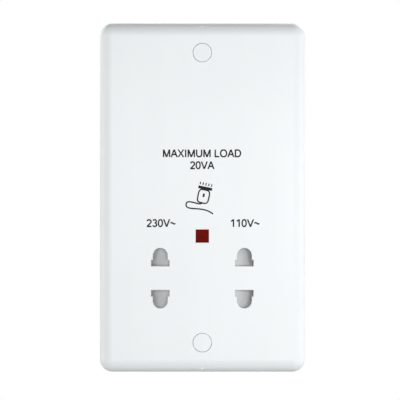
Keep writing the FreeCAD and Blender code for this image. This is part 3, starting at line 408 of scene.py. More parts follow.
RESISTOR = BandedLacquer(
    "resistor_lacquer", (0.62, 0.47, 0.28), (0.52, 0.38, 0.21), 0.2, 0.34, 0.5, 0.006, 2,
    bands=(((0.16, 0.06, 0.02), -9.2, -8.5), ((0.01, 0.01, 0.01), -8.0, -7.3),
           ((0.65, 0.5, 0.02), -6.8, -6.1), ((0.45, 0.33, 0.1), -5.1, -4.4),
           (BARE_LEAD, -13.0, -10.15), (BARE_LEAD, -3.65, -1.0)))

NODE_FINISHES: dict[str, Finish] = dict(
    front_plate=FACE, screw_cap_upper=CAP, screw_cap_lower=CAP, neon_lens=LENS, shutter=SHUTTER,
    neon_lamp=GLASS, neon_resistor=RESISTOR, centring_spring=SPRING, switch_bridge=BRONZE,
    switch_strip_line=BRONZE, switch_strip_load=BRONZE, contact_carrier=CARRIER, contact_230v=BRONZE,
    contact_110v=BRONZE, contact_common=BRONZE, core_e_stack=CORE, core_i_stack=CORE, bobbin=BOBBIN,
    primary_winding=TAPE, secondary_winding=TAPE, thermal_cutout=CUTOUT, rear_housing=HOUSING,
    housing_screws=ZINC, fixing_screws=ZINC, terminal_screws=ZINC, terminal_earth=BRASS,
    terminal_neutral=BRASS, terminal_live=BRASS)


class Wardrobe:
    """Materials by finish, each built once."""

    def __init__(self) -> None:
        """Start with the shared effects and no materials."""
        self.effects = Effects()
        self.made: dict[str, Material] = {}

    def dress(self, piece: Object, finish: Finish) -> None:
        """Put a finish on every material slot of a piece, with the material built on first use.

        Args:
            piece: a node or a new piece.
            finish: its look.
        """
        if finish.name not in self.made:
            self.made[finish.name] = finish.material(self.effects)
        if not piece.material_slots:
            piece.data.materials.append(None)
        for slot in piece.material_slots:
            slot.material = self.made[finish.name]
        LOG.info("%s: %d faces in %s", piece.name, len(piece.data.polygons), finish.name)

    def settle(self, piece: Object, finish: Finish) -> Object:
        """Dress a new piece, let it ride on the socket and hand it back.

        Args:
            piece: the piece, in its place.
            finish: its look.

        Returns:
            The same piece.
        """
        self.dress(piece, finish)
        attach(piece, BODY)
        return piece


@dataclass
class Shell:
    """Points and faces of a surface before it is a mesh."""

    points: Array
    faces: list[list[int]]

    @staticmethod
    def joined(shells: "list[Shell]") -> "Shell":
        """Several shells as one, with their face numbers moved on."""
        starts = np.cumsum([0] + [len(shell.points) for shell in shells])
        faces = [[int(start) + corner for corner in face]
                 for shell, start in zip(shells, starts) for face in shell.faces]
        return Shell(np.concatenate([shell.points for shell in shells]), faces)

    def moved(self, x: float, z: float) -> "Shell":
        """Copy of the shell, moved across and up."""
        return Shell(self.points + np.array([x, 0.0, z]), self.faces)

    def piece(self, name: str, crease: float = 35.0) -> Object:
        """Make the shell an object at the origin, smooth but for edges sharper than crease degrees.

        Args:
            name: the object's name.
            crease: angle above which an edge stays sharp.

        Returns:
            The new object, linked to the scene.
        """
        mesh = bpy.data.meshes.new(name)
        mesh.from_pydata(self.points.tolist(), [], self.faces)
        work = bmesh.new()
        work.from_mesh(mesh)
        bmesh.ops.recalc_face_normals(work, faces=work.faces)
        work.to_mesh(mesh)
        work.free()
        mesh.polygons.foreach_set("use_smooth", np.ones(len(mesh.polygons), dtype=bool))
        mesh.set_sharp_from_angle(angle=math.radians(crease))
        mesh.update()
        piece = bpy.data.objects.new(name, mesh)
        bpy.context.scene.collection.objects.link(piece)
        return piece


def tube_faces(rows: int, columns: int) -> list[list[int]]:
    """Quads of a grid whose columns wrap round, with one face over each end.

    Args:
        rows: number of rings along the grid.
        columns: number of points in a ring.

    Returns:
        The faces as lists of point numbers.
    """
    row, column = np.meshgrid(np.arange(rows - 1), np.arange(columns), indexing="ij")
    here, there = row * columns, (row + 1) * columns
    after = (column + 1) % columns
    quads = np.stack([here + column, here + after, there + after, there + column], axis=-1)
    ring = np.arange(columns)
    ends = [ring[::-1].tolist(), (ring + (rows - 1) * columns).tolist()]
    return quads.reshape(-1, 4).tolist() + ends


def anticlockwise(outline: Array) -> Array:
    """Outline turned to run anticlockwise, by the sign of the area under its edges."""
    x, z = outline.T
    return outline if np.sum(x * np.roll(z, -1) - np.roll(x, -1) * z) > 0 else outline[::-1]


# What delaunay_2d_cdt is asked for: only triangles inside an outline, and points this near are one
INSIDE_ONLY = 1
NEAR = 1e-5


def slab(outlines: list[Array], low: float, high: float) -> Shell:
    """Flat closed shell that covers overlapping outlines once, upright in XZ and thick along Y.

    The plane is cut into triangles along every outline. Those inside any outline are kept at both depths,
    and an edge that only one kept triangle has gets a wall between the depths.

    Args:
        outlines: closed outlines as rows of X and Z, in millimetres.
        low: Y of the shell's front, in metres.
        high: Y of its back.

    Returns:
        The shell, in metres.
    """
    starts = np.cumsum([0] + [len(outline) for outline in outlines]).tolist()
    rings = [list(range(start, end)) for start, end in zip(starts, starts[1:])]
    corners = [Vector(corner) for outline in outlines for corner in anticlockwise(outline).tolist()]
    spots, _, faces, _, _, owners = delaunay_2d_cdt(corners, [], rings, INSIDE_ONLY, NEAR)
    kept = np.array([face for face, owner in zip(faces, owners) if owner])
    flat = np.array([tuple(spot) for spot in spots]) * MM
    count = len(flat)
    depth = np.repeat([low, high], count)
    points = np.stack([np.tile(flat[:, 0], 2), depth, np.tile(flat[:, 1], 2)], axis=1)
    edges = np.stack([kept, np.roll(kept, -1, axis=1)], axis=-1).reshape(-1, 2)
    rim = edges[~np.isin(edges[:, 0] * count + edges[:, 1], edges[:, 1] * count + edges[:, 0])]
    walls = np.concatenate([rim, rim[:, ::-1] + count], axis=1)
    return Shell(points, kept.tolist() + (kept[:, ::-1] + count).tolist() + walls.tolist())


def banked(path: Array, width: float, closed: bool = False) -> tuple[Array, Array]:
    """Left and right banks of a stroke: each path point moved half the width along the path's normal.

    Args:
        path: points of the centre line as rows of two numbers.
        width: the stroke's width.
        closed: whether the path's end joins its start.

    Returns:
        The two banks, point for point.
    """
    run = np.roll(path, -1, axis=0) - np.roll(path, 1, axis=0) if closed else np.gradient(path, axis=0)
    run = run / np.linalg.norm(run, axis=1, keepdims=True)
    side = np.stack([-run[:, 1], run[:, 0]], axis=1) * width / 2
    return path + side, path - side


# Widths of the print: stems and slanting strokes as shares of a capital's height, and the sign's line in mm
STEM = 0.195
SLANT = 0.215
LINE = 0.58


class Stroke:
    """One stroke of a letter or a sign: a band of its width along a path."""

    width: float

    def path(self) -> Array:
        """Centre line, as rows of two numbers."""
        raise NotImplementedError

    def outlines(self) -> list[Array]:
        """Closed outlines that the stroke covers: up the left bank and down the right one."""
        left, right = banked(self.path(), self.width)
        return [np.concatenate([left, right[::-1]])]


@dataclass(frozen=True)
class Bar(Stroke):
    """Straight stroke."""

    start: Spot
    end: Spot
    width: float = STEM

    def path(self) -> Array:
        """The line from start to end."""
        return np.array([self.start, self.end])


@dataclass(frozen=True)
class Slant(Bar):
    """Slanting stroke with its ends cut level, and its width measured level too."""

    width: float = SLANT

    def outlines(self) -> list[Array]:
        """Parallelogram about the line."""
        half = np.array([self.width / 2, 0.0])
        return [np.concatenate([self.path() - half, self.path()[::-1] + half])]


@dataclass(frozen=True)
class Bow(Stroke):
    """Stroke along an ellipse, from a start to an end angle in degrees."""

    centre: Spot
    radii: Spot
    start: float
    end: float
    width: float = STEM
    points: int = 24

    def path(self) -> Array:
        """centre + (rx cos t, ry sin t)."""
        turn = np.radians(np.linspace(self.start, self.end, self.points))
        return np.array(self.centre) + np.array(self.radii) * np.stack([np.cos(turn), np.sin(turn)], axis=1)


@dataclass(frozen=True)
class Loop(Stroke):
    """Closed stroke between an ellipse and a rectangle: power 2 is an ellipse, and more is squarer."""

    centre: Spot
    halves: Spot
    power: float = 2.2
    width: float = STEM
    points: int = 72

    def path(self) -> Array:
        """centre + (a |cos t|^(2/power), b |sin t|^(2/power)), with the signs of cos t and sin t."""
        turn = np.linspace(0, 2 * np.pi, self.points, endpoint=False) + np.pi / self.points
        bend = np.stack([np.cos(turn), np.sin(turn)], axis=1)
        reach = np.sign(bend) * np.abs(bend) ** (2 / self.power)
        return reach * np.array(self.halves) + np.array(self.centre)

    def outlines(self) -> list[Array]:
        """The band as two halves, since one outline can't go round a hole."""
        left, right = banked(self.path(), self.width, closed=True)
        half = self.points // 2
        spans = (np.arange(half + 1), np.arange(half, self.points + 1) % self.points)
        return [np.concatenate([left[span], right[span[::-1]]]) for span in spans]


@dataclass(frozen=True)
class Wave(Stroke):
    """One full sine wave from start, with its length and swing."""

    start: Spot
    length: float
    swing: float
    width: float = STEM
    points: int = 32

    def path(self) -> Array:
        """start + (length t, swing sin 2 pi t)."""
        t = np.linspace(0, 1, self.points)
        return np.array(self.start) + np.stack([self.length * t, self.swing * np.sin(2 * np.pi * t)], axis=1)


@dataclass(frozen=True)
class Lead(Stroke):
    """Cubic curve with a start, two pulls and an end."""

    hull: tuple[Spot, Spot, Spot, Spot]
    width: float = LINE
    points: int = 40

    def path(self) -> Array:
        """The hull weighed by (1-t)^3, 3t(1-t)^2, 3t^2(1-t) and t^3."""
        t = np.linspace(0, 1, self.points)[:, None]
        weights = np.concatenate([(1 - t) ** 3, 3 * t * (1 - t) ** 2, 3 * t ** 2 * (1 - t), t ** 3], axis=1)
        return weights @ np.array(self.hull)


@dataclass(frozen=True)
class Glyph:
    """One plain capital, figure or sign, one unit high: the room it takes and its strokes."""

    advance: float
    strokes: tuple[Stroke, ...] = ()


STAFF = Bar((0.165, 0), (0.165, 1))
ALPHABET: dict[str, Glyph] = {
    " ": Glyph(0.388),
    "A": Glyph(0.932, (Slant((0.07, 0), (0.466, 1)), Slant((0.862, 0), (0.466, 1)),
                       Bar((0.22, 0.35), (0.71, 0.35)))),
    "D": Glyph(1.009, (STAFF, Bar((0.165, 0.935), (0.48, 0.935)),
                       Bow((0.48, 0.5), (0.39, 0.435), 90, -90), Bar((0.48, 0.065), (0.165, 0.065)))),
    "I": Glyph(0.388, (Bar((0.194, 0), (0.194, 1)),)),
    "L": Glyph(0.777, (STAFF, Bar((0.165, 0.065), (0.74, 0.065)))),
    "M": Glyph(1.164, (STAFF, Bar((0.999, 0), (0.999, 1)),
                       Slant((0.19, 1), (0.582, 0)), Slant((0.974, 1), (0.582, 0)))),
    "N": Glyph(1.009, (STAFF, Bar((0.845, 0), (0.845, 1)), Slant((0.175, 1), (0.835, 0)))),
    "O": Glyph(1.087, (Loop((0.5435, 0.5), (0.41, 0.445)),)),
    "U": Glyph(1.009, (Bar((0.165, 1), (0.165, 0.36)), Bow((0.505, 0.36), (0.34, 0.305), 180, 360),
                       Bar((0.845, 0.36), (0.845, 1)))),
    "V": Glyph(0.932, (Slant((0.07, 1), (0.466, 0)), Slant((0.862, 1), (0.466, 0)))),
    "X": Glyph(0.932, (Slant((0.1, 0), (0.83, 1)), Slant((0.1, 1), (0.83, 0)))),
    "0": Glyph(0.777, (Loop((0.388, 0.5), (0.27, 0.445)),)),
    "1": Glyph(0.777, (Bar((0.49, 0), (0.49, 1)), Bar((0.17, 0.72), (0.49, 0.96)))),
    "2": Glyph(0.777, (Bow((0.385, 0.69), (0.27, 0.25), 168, -32), Bar((0.63, 0.58), (0.13, 0.07)),
                       Bar((0.07, 0.06), (0.71, 0.06)))),
    "3": Glyph(0.777, (Bow((0.37, 0.735), (0.235, 0.205), 158, -90),
                       Bow((0.375, 0.295), (0.275, 0.235), 90, -160))),
    "~": Glyph(0.816, (Wave((0.08, 0.47), 0.66, 0.085),))}


@dataclass(frozen=True)
class Legend:
    """One line of letters: its words, the middle of it, its width and a capital's height, in millimetres."""

    words: str
    middle: Spot
    width: float
    height: float

    def outlines(self) -> list[Array]:
        """Outlines of the letters side by side, drawn out to the width and the height.

        Returns:
            Closed outlines in millimetres.
        """
        glyphs = [ALPHABET[letter] for letter in self.words]
        pens = np.cumsum([0.0] + [glyph.advance for glyph in glyphs])
        outlines = [outline + np.array([pen, 0.0]) for pen, glyph in zip(pens, glyphs)
                    for stroke in glyph.strokes for outline in stroke.outlines()]
        across = np.concatenate(outlines)[:, 0]
        centre = np.array([(across.min() + across.max()) / 2, 0.5])
        scale = np.array([self.width / (across.max() - across.min()), self.height])
        return [(outline - centre) * scale + np.array(self.middle) for outline in outlines]


@dataclass(frozen=True)
class ShaverSign:
    """Line drawing of a small electric shaver with cut hairs over it and a waving lead, in millimetres."""

    centre: Spot = (0.0, 0.1)
    tilt: float = -12.0
    body: Stroke = Loop((0.4, 0.5), (2.3, 2.75), 4.0, LINE)
    head: Stroke = Bar((-2.5, 4.0), (3.3, 4.0), 1.2)
    switch: Stroke = Bar((0.4, 0.2), (0.4, 1.7), 0.8)
    lead: Stroke = Lead(((0.4, -2.2), (0.1, -3.9), (-6.0, -1.6), (-6.0, -4.0)))
    tail: Stroke = Lead(((-6.0, -4.0), (-6.0, -7.6), (1.0, -3.0), (5.8, -5.9)))
    hairs: int = 5
    hair_row: Spot = (-2.0, 2.8)
    hair_ends: Spot = (5.1, 6.2)
    hair_width: float = 0.8 * LINE

    def outlines(self) -> list[Array]:
        """Outlines of every stroke, turned by the tilt and moved to the centre.

        Returns:
            Closed outlines in millimetres.
        """
        strokes = [self.body, self.head, self.switch, self.lead, self.tail]
        root, tip = self.hair_ends
        row = np.linspace(*self.hair_row, self.hairs)
        strokes += [Bar((x, root), (x, tip), self.hair_width) for x in row]
        cos, sin = math.cos(math.radians(self.tilt)), math.sin(math.radians(self.tilt))
        turn = np.array([[cos, sin], [-sin, cos]])
        return [outline @ turn + np.array(self.centre) for stroke in strokes for outline in stroke.outlines()]


@dataclass
class FacePrint:
    """Black print on the plate's face, at Y = front: a load rating, two voltages and a shaver sign."""

    front: float
    proud: float = 0.012 * MM
    sunk: float = 0.02 * MM
    sign: ShaverSign = ShaverSign()
    legends: tuple[Legend, ...] = (
        Legend("MAXIMUM LOAD", (-0.1, 18.4), 32.6, 3.16), Legend("20VA", (0.0, 13.45), 10.2, 3.16),
        Legend("230V~", (-17.1, -10.6), 12.2, 3.16), Legend("110V~", (17.85, -10.6), 12.1, 3.16))

    def build(self, wardrobe: Wardrobe) -> None:
        """Print the words and the sign.

        Args:
            wardrobe: dresses the pieces.
        """
        words = [outline for legend in self.legends for outline in legend.outlines()]
        for name, outlines in (("printed_words", words), ("printed_sign", self.sign.outlines())):
            layer = slab(outlines, self.front - self.proud, self.front + self.sunk)
            wardrobe.settle(layer.piece(name), INK)


def turned(y: Array, radius: Array, columns: int) -> Shell:
    """Closed surface about the Y axis: the points of ring i lie at y i, at even angles and at their radii.

    Args:
        y: place of each ring along the axis.
        radius: a row of radii for each ring, or one radius for each.
        columns: number of points round a ring.

    Returns:
        The surface, with both ends closed.
    """
    angle = np.linspace(0, 2 * np.pi, columns, endpoint=False)
    radius = np.broadcast_to(radius.reshape(len(y), -1), (len(y), columns))
    level = np.broadcast_to(y[:, None], radius.shape)
    points = np.stack([radius * np.cos(angle), level, radius * np.sin(angle)], axis=-1)
    return Shell(points.reshape(-1, 3), tube_faces(len(y), columns))


THREAD_FLAT = 1 / 6


def threaded(y: Array, plain: Array, depth: Array, pitch: float, columns: int) -> Shell:
    """Threaded rod: radius plain less depth times a zigzag of y / pitch - angle / turn, flat at its ends.

    Args:
        y: place of each ring along the axis.
        plain: radius of each ring over the thread's crests.
        depth: how deep the thread is cut at each ring.
        pitch: distance between crests.
        columns: number of points round a ring.

    Returns:
        The rod, with both ends closed.
    """
    turn = np.linspace(0, 1, columns, endpoint=False)
    zigzag = np.abs((y[:, None] / pitch - turn) % 1 * 2 - 1)
    cut = np.clip((zigzag - THREAD_FLAT) / (1 - 2 * THREAD_FLAT), 0, 1)
    return turned(y, plain[:, None] - depth[:, None] * cut, columns)


@dataclass
class StandIn:
    """Finer form of a node's plain solids, fitted to the two corners of their box."""

    low: Vector
    high: Vector


@dataclass
class FixingScrews(StandIn):
    """The two cheese-head wall screws, with the rolled thread that the plain shanks stand for.

    low.y is the heads' front, high.y the tips' end and high.x a head's radius.
    """

    seat: float = -4.8 * MM
    thread_start: float = 0.0
    shank_radius: float = 1.5 * MM
    thread_radius: float = 1.75 * MM
    thread_depth: float = 0.36 * MM
    pitch: float = 0.6 * MM
    slot_width: float = 1.0 * MM
    slot_depth: float = 1.0 * MM
    tip_bevel: float = 0.5 * MM
    edge: float = 0.25 * MM
    columns: int = 40
    rows_a_turn: int = 6
    cheek_points: int = 21

    def stem(self) -> Shell:
        """Head's lower disc, shank and thread as one turned surface about Y.

        Returns:
            The closed surface.
        """
        tip, radius = self.high.y, self.high.x
        rings = round((tip - self.thread_start) / self.pitch * self.rows_a_turn)
        run = np.linspace(self.thread_start, tip, rings)
        fade = np.clip((tip - run) / self.tip_bevel, 0, 1)
        head = np.array([
            (self.low.y + self.slot_depth, radius), (self.seat - self.edge, radius),
            (self.seat, radius - self.edge), (self.seat, self.shank_radius),
            (self.thread_start, self.shank_radius)])
        y = np.concatenate([head[:, 0], run])
        plain = np.concatenate([head[:, 1], self.thread_radius - self.tip_bevel * (1 - fade)])
        depth = np.concatenate([np.zeros(len(head)), self.thread_depth * fade])
        return threaded(y, plain, depth, self.pitch, self.columns)

    def cheek(self, side: int) -> Shell:
        """Half of the head beside the slot: a circle's segment drawn out along Y, with a broken front edge.

        Args:
            side: 1 for the half above the slot and -1 for the half below.

        Returns:
            The closed half.
        """
        front, full = self.low.y, self.high.x
        start = math.asin(self.slot_width / 2 / full)
        angle = np.linspace(start, math.pi - start, self.cheek_points)
        arc = np.stack([np.cos(angle), side * np.sin(angle)], axis=1)
        levels = [(front, full - self.edge), (front + self.edge, full), (front + self.slot_depth, full)]
        rings = [np.stack([arc[:, 0] * radius, np.full(len(arc), y), arc[:, 1] * radius], axis=1)
                 for y, radius in levels]
        return Shell(np.concatenate(rings), tube_faces(len(levels), len(arc)))

    def build(self, wardrobe: Wardrobe) -> None:
        """Make both screws as one piece in place of their plain solids.

        Args:
            wardrobe: dresses the pieces.
        """
        screw = Shell.joined([self.stem(), self.cheek(1), self.cheek(-1)])
        up = self.high.z - self.high.x
        pair = Shell.joined([screw.moved(0.0, side * up) for side in (-1, 1)])
        piece = wardrobe.settle(pair.piece("fixing_screws_threaded", crease=50.0), ZINC)
        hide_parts("fixing_screws")


@dataclass
class HousingScrews(StandIn):
    """The two self-tapping screws that hold the rear housing, with domed heads and a cross recess.

    low.y is the tips' end and high.y the heads' top.
    """

    seat: float = 3.0 * MM
    dome_power: float = 2.6
    recess_reach: float = 1.55 * MM
    recess_half: float = 0.36 * MM
    recess_depth: float = 1.1 * MM
    recess_lean: float = 0.16 * MM
    core_tip: float = 0.5 * MM
    tip_length: float = 2.2 * MM
    thread_radius: float = 1.45 * MM
    thread_depth: float = 0.38 * MM
    pitch: float = 1.1 * MM
    head_rows: int = 44
    head_columns: int = 144
    hub_angle: float = 0.004
    shank_rows: int = 90
    shank_columns: int = 36

    @property
    def head_radius(self) -> float:
        """Half of the box's height, since the heads lie level."""
        return (self.high.z - self.low.z) / 2

    def head(self) -> Shell:
        """Head as heights over a round grid.

        The dome at radius r is height (1 - (r/R)^p)^(1/p). A point with the smaller distance a and the larger
        distance b from the two arms' axes lies deeper by depth times the product of (half - a) / lean and of
        (reach - b) / half, each held between 0 and 1.

        Returns:
            The head's dome, closed by its flat seat.
        """
        share = np.sin(np.linspace(self.hub_angle, np.pi / 2, self.head_rows))[:, None]
        angle = np.linspace(0, 2 * np.pi, self.head_columns, endpoint=False)
        x, z = share * self.head_radius * np.cos(angle), share * self.head_radius * np.sin(angle)
        small, large = np.minimum(np.abs(x), np.abs(z)), np.maximum(np.abs(x), np.abs(z))
        sunk = (np.clip((self.recess_half - small) / self.recess_lean, 0, 1)
                * np.clip((self.recess_reach - large) / self.recess_half, 0, 1))
        dome = (1 - share ** self.dome_power) ** (1 / self.dome_power) * (self.high.y - self.seat)
        points = np.stack([x, self.seat + dome - sunk * self.recess_depth, z], axis=-1)
        return Shell(points.reshape(-1, 3), tube_faces(self.head_rows, self.head_columns))

    def shank(self) -> Shell:
        """Coarse thread that narrows to a blunt tip as the square root of the way from it.

        Returns:
            The closed surface.
        """
        y = np.linspace(self.seat, self.low.y, self.shank_rows)
        narrow = np.clip((y - self.low.y) / self.tip_length, 0, 1)
        plain = self.core_tip + (self.thread_radius - self.core_tip) * np.sqrt(narrow)
        return threaded(y, plain, self.thread_depth * narrow, self.pitch, self.shank_columns)

    def build(self, wardrobe: Wardrobe) -> None:
        """Make both screws as one piece in place of their plain solids.

        Args:
            wardrobe: dresses the pieces.
        """
        screw = Shell.joined([self.head(), self.shank()])
        across, up = self.high.x - self.head_radius, self.high.z - self.head_radius
        pair = Shell.joined([screw.moved(side * across, up) for side in (-1, 1)])
        piece = wardrobe.settle(pair.piece("housing_screws_domed", crease=42.0), ZINC)
        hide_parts("housing_screws")


@dataclass
class GlowLamp(StandIn):
    """The indicator's lamp: a blown glass tube with a drawn tip, two electrodes and their leads.

    low.y is the tip, high.y the leads' end and high.x the tube's radius.
    """

    base: float = 3.9 * MM
    wall: float = 0.3 * MM
    shoulder: float = 2.6 * MM
    nib: float = 0.7 * MM
    nib_radius: float = 0.35 * MM
    nib_blunt: float = 0.04
    least_radius: float = 0.02 * MM
    nib_rings: int = 5
    nib_gap: float = 0.05 * MM
    shoulder_rings: int = 16
    tube_gap: float = 0.2 * MM
    tube_rings: int = 18
    pinch: float = 0.45
    pinch_length: float = 3.0 * MM
    lead_spread: float = 0.9 * MM
    lead_radius: float = 0.25 * MM
    lead_bevel: float = 0.1 * MM
    lead_blunt: float = 0.7
    electrode_radius: float = 0.42 * MM
    electrode_start: float = -3.4 * MM
    electrode_end: float = 1.2 * MM
    electrode_nose: tuple[Spot, ...] = ((0.0, 0.35), (0.08 * MM, 0.75), (0.3 * MM, 1.0))
    electrode_neck: float = 0.25 * MM
    columns: int = 40
    wire_columns: int = 20

    def skin(self, inset: float) -> tuple[Array, Array]:
        """Rings of the tube: a nib, a shoulder that grows as a quarter ellipse, then straight.

        Args:
            inset: how far the skin lies inside the outer one.

        Returns:
            The rings' places along Y and their radii.
        """
        tip = self.low.y
        neck = tip + self.nib
        full = neck + self.shoulder
        y = np.concatenate([np.linspace(tip + inset, neck, self.nib_rings),
                            np.linspace(neck + self.nib_gap, full, self.shoulder_rings),
                            np.linspace(full + self.tube_gap, self.base - inset, self.tube_rings)])
        rise = np.clip((y - neck) / self.shoulder, 0, 1)
        nib = self.nib_radius * np.sqrt(np.clip((y - tip) / self.nib, self.nib_blunt, 1))
        radius = nib + (self.high.x - self.nib_radius) * np.sqrt(1 - (1 - rise) ** 2)
        return y, np.maximum(radius - inset, self.least_radius)

    def glass(self) -> Shell:
        """Outer and inner skin as one wall, with the base pinched flat: Z times 1 - pinch * rise^2.

        Returns:
            The closed wall, about the Y axis.
        """
        outer_y, outer = self.skin(0.0)
        inner_y, inner = self.skin(self.wall)
        y = np.concatenate([outer_y, inner_y[::-1]])
        tube = turned(y, np.concatenate([outer, inner[::-1]]), self.columns)
        rise = np.clip((tube.points[:, 1] - self.base + self.pinch_length) / self.pinch_length, 0, 1)
        tube.points[:, 2] *= 1 - self.pinch * rise ** 2
        return tube

    def wire(self) -> Shell:
        """Lead that widens to a round-nosed electrode inside the tube.

        Returns:
            The closed rod, about the Y axis.
        """
        full, thin, end = self.electrode_radius, self.lead_radius, self.high.y
        nose = [(self.electrode_start + way, share * full) for way, share in self.electrode_nose]
        rest = [(self.electrode_end, full), (self.electrode_end + self.electrode_neck, thin),
                (end - self.lead_bevel, thin), (end, self.lead_blunt * thin)]
        y, radius = np.array(nose + rest).T
        return turned(y, radius, self.wire_columns)

    def build(self, wardrobe: Wardrobe) -> None:
        """Blow the tube in place of its plain solid and set the two wires in it.

        Args:
            wardrobe: dresses the pieces.
        """
        up = (self.low.z + self.high.z) / 2
        glass = wardrobe.settle(self.glass().moved(0.0, up).piece("glow_lamp_tube"), GLASS)
        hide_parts("neon_lamp")
        pair = Shell.joined([self.wire().moved(side * self.lead_spread, up) for side in (-1, 1)])
        wires = wardrobe.settle(pair.piece("glow_lamp_wires"), SPRING)


@dataclass
class TerminalMarks:
    """Raised marks on the wall above the terminals: live, neutral and the earth sign.

    Places and sizes along the wall are in millimetres. Each bar of the earth sign is half its length and its
    level, as shares of half the sign's height.
    """

    wall: float = 43.0 * MM
    proud: float = 0.25 * MM
    sunk: float = 0.05 * MM
    inward: float = 27.0
    height: float = 4.0
    line: float = 0.6
    letters: tuple[tuple[str, float, float], ...] = (("N", 9.0, 3.2), ("L", 20.0, 2.6))
    earth_x: float = -15.0
    earth_bars: tuple[Spot, ...] = ((1.0, 0.0), (0.6, -0.5), (0.25, -1.0))

    def outlines(self) -> list[Array]:
        """Letters, and the earth sign: a stem over three bars, each shorter than the last.

        Returns:
            Closed outlines in millimetres.
        """
        half = self.height / 2
        bars = [Bar((-reach * half, level * half), (reach * half, level * half), self.line)
                for reach, level in self.earth_bars]
        bars.append(Bar((0.0, half), (0.0, 0.0), self.line))
        middle = np.array([self.earth_x, self.inward])
        earth = [outline + middle for bar in bars for outline in bar.outlines()]
        return earth + [outline for words, x, width in self.letters
                        for outline in Legend(words, (x, self.inward), width, self.height).outlines()]

    def build(self, wardrobe: Wardrobe) -> None:
        """Mould the marks on the housing, turned from upright to lie on the wall.

        Args:
            wardrobe: dresses the pieces.
        """
        upright = slab(self.outlines(), -self.proud, self.sunk)
        x, depth, along = upright.points.T
        marks = Shell(np.stack([x, along, self.wall - depth], axis=1), upright.faces)
        piece = wardrobe.settle(marks.piece("terminal_marks"), HOUSING)


@dataclass(frozen=True)
class Lamp:
    """Soft square lamp, aimed at the socket: its bearing and height in degrees, distance and side in metres.

    level is the brightness that the lamp alone gives to a white face turned towards it.
    """

    name: str
    bearing: float
    height: float
    distance: float
    side: float
    level: float

    def build(self) -> None:
        """Hang the lamp: its power is level times pi squared times the distance squared."""
        light = bpy.data.lights.new(self.name, "AREA")
        light.shape = "SQUARE"
        light.size = self.side
        light.energy = self.level * math.pi ** 2 * self.distance ** 2
        bearing, height = math.radians(self.bearing), math.radians(self.height)
        away = Vector((math.sin(bearing) * math.cos(height), -math.cos(bearing) * math.cos(height),
                       math.sin(height)))
        holder = bpy.data.objects.new(self.name, light)
        holder.location = away * self.distance
        holder.rotation_euler = away.to_track_quat("Z", "Y").to_euler()
        bpy.context.scene.collection.objects.link(holder)


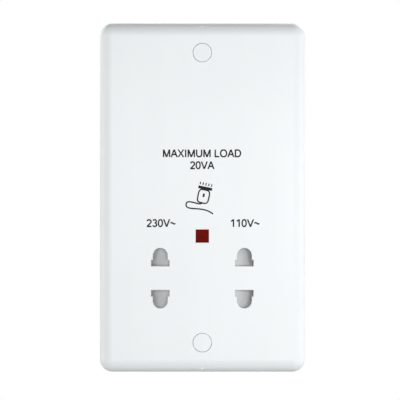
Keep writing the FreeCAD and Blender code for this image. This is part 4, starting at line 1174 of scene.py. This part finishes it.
@dataclass
class Studio:
    """Pale floor, white surround, soft lamps and the camera at the photograph's view."""

    floor_height: float = -0.6
    floor_radius: float = 0.4
    floor_colour: Colour = (0.86, 0.865, 0.87)
    floor_fade: Spot = (0.3, 0.95)
    floor_points: int = 96
    ambient: Colour = (0.072, 0.073, 0.074)
    camera_place: Point = (-0.956 * MM, -833 * MM, -1.0 * MM)
    lens: float = 178.4
    lamps: tuple[Lamp, ...] = (
        Lamp("front_right", 10, 0, 0.9, 0.25, 0.4), Lamp("front_left", -10, 0, 0.9, 0.25, 0.27),
        Lamp("key_right", 45, -6, 0.3, 0.15, 0.2), Lamp("rim_right", 97, 0, 0.5, 0.4, 0.48),
        Lamp("rim_left", -97, 0, 0.5, 0.4, 0.48), Lamp("back_right", 150, 38, 1, 0.6, 0.4),
        Lamp("back_left", -140, 25, 1, 0.6, 0.3))

    def surround(self) -> None:
        """White for what looks at the surround, and a plain grey light from it for the rest."""
        world = bpy.data.worlds.new("studio")
        tree = ShaderTree.fresh(world)
        ray = tree.add("ShaderNodeLightPath").outputs
        mirrored = tree.math("MAXIMUM", ray["Is Glossy Ray"], ray["Is Transmission Ray"])
        seen = tree.math("MAXIMUM", ray["Is Camera Ray"], mirrored)
        light = tree.add("ShaderNodeBackground", {"Color": opaque(self.ambient), "Strength": 1.0})
        white = tree.add("ShaderNodeBackground", {"Color": opaque(WHITE), "Strength": 1.0})
        mix = tree.add("ShaderNodeMixShader", {0: seen, 1: light.outputs[0], 2: white.outputs[0]})
        tree.add("ShaderNodeOutputWorld", {"Surface": mix.outputs[0]})
        bpy.context.scene.world = world

    def paper(self) -> Material:
        """Pale paper for the floor, which the camera sees pale to the surround's white towards the rim.

        Returns:
            The new material.
        """
        material = bpy.data.materials.new("floor_pale")
        tree = ShaderTree.fresh(material)
        inputs = {0: tree.place(), 1: (1.0, 1.0, 0.0)}
        flat = tree.add("ShaderNodeVectorMath", inputs, operation="MULTIPLY").outputs[0]
        reach = tree.add("ShaderNodeVectorMath", {0: flat}, operation="LENGTH").outputs["Value"]
        fade = tree.spread(reach, *(share * self.floor_radius for share in self.floor_fade))
        paper = tree.add("ShaderNodeBsdfDiffuse", {"Color": opaque(self.floor_colour)})
        white = tree.add("ShaderNodeEmission", {"Color": opaque(WHITE), "Strength": 1.0})
        seen = tree.math("MULTIPLY", fade, tree.add("ShaderNodeLightPath").outputs["Is Camera Ray"])
        mix = tree.add("ShaderNodeMixShader", {0: seen, 1: paper.outputs[0], 2: white.outputs[0]})
        tree.add("ShaderNodeOutputMaterial", {"Surface": mix.outputs[0]})
        return material

    def floor(self) -> None:
        """Round floor below the socket."""
        angle = np.linspace(0, 2 * np.pi, self.floor_points, endpoint=False)
        level = np.full_like(angle, self.floor_height)
        rim = np.stack([self.floor_radius * np.cos(angle), self.floor_radius * np.sin(angle), level], axis=1)
        mesh = bpy.data.meshes.new("floor")
        mesh.from_pydata(rim.tolist(), [], [list(range(self.floor_points))])
        mesh.materials.append(self.paper())
        disc = bpy.data.objects.new("floor", mesh)
        bpy.context.scene.collection.objects.link(disc)
        disc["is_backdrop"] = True

    def camera(self) -> None:
        """Camera square to the face."""
        data = bpy.data.cameras.new("camera")
        data.lens = self.lens
        holder = bpy.data.objects.new("camera", data)
        holder.location = self.camera_place
        holder.rotation_euler = (math.radians(90.0), 0.0, 0.0)
        bpy.context.scene.collection.objects.link(holder)
        bpy.context.scene.camera = holder

    def build(self) -> None:
        """Set up everything round the socket."""
        bpy.context.scene.view_settings.view_transform = "Standard"
        self.surround()
        self.floor()
        for lamp in self.lamps:
            lamp.build()
        self.camera()


def corners() -> list[list[float]]:
    """Lowest and highest corner of what is shown, as plain lists."""
    return [list(corner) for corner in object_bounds()]


def main() -> None:
    """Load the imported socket, dress it, add its print, threads and marks, and light it."""
    logging.basicConfig(level=logging.INFO, format="%(message)s")
    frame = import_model()
    wardrobe = Wardrobe()
    for name, node in frame["nodes"].items():
        wardrobe.dress(node, NODE_FINISHES[name])
    for assembly in (FacePrint(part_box("front_plate")[0].y), FixingScrews(*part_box("fixing_screws")),
                     HousingScrews(*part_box("housing_screws")), GlowLamp(*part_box("neon_lamp")),
                     TerminalMarks()):
        assembly.build(wardrobe)
    Studio().build()


if __name__ == "__main__":
    main()
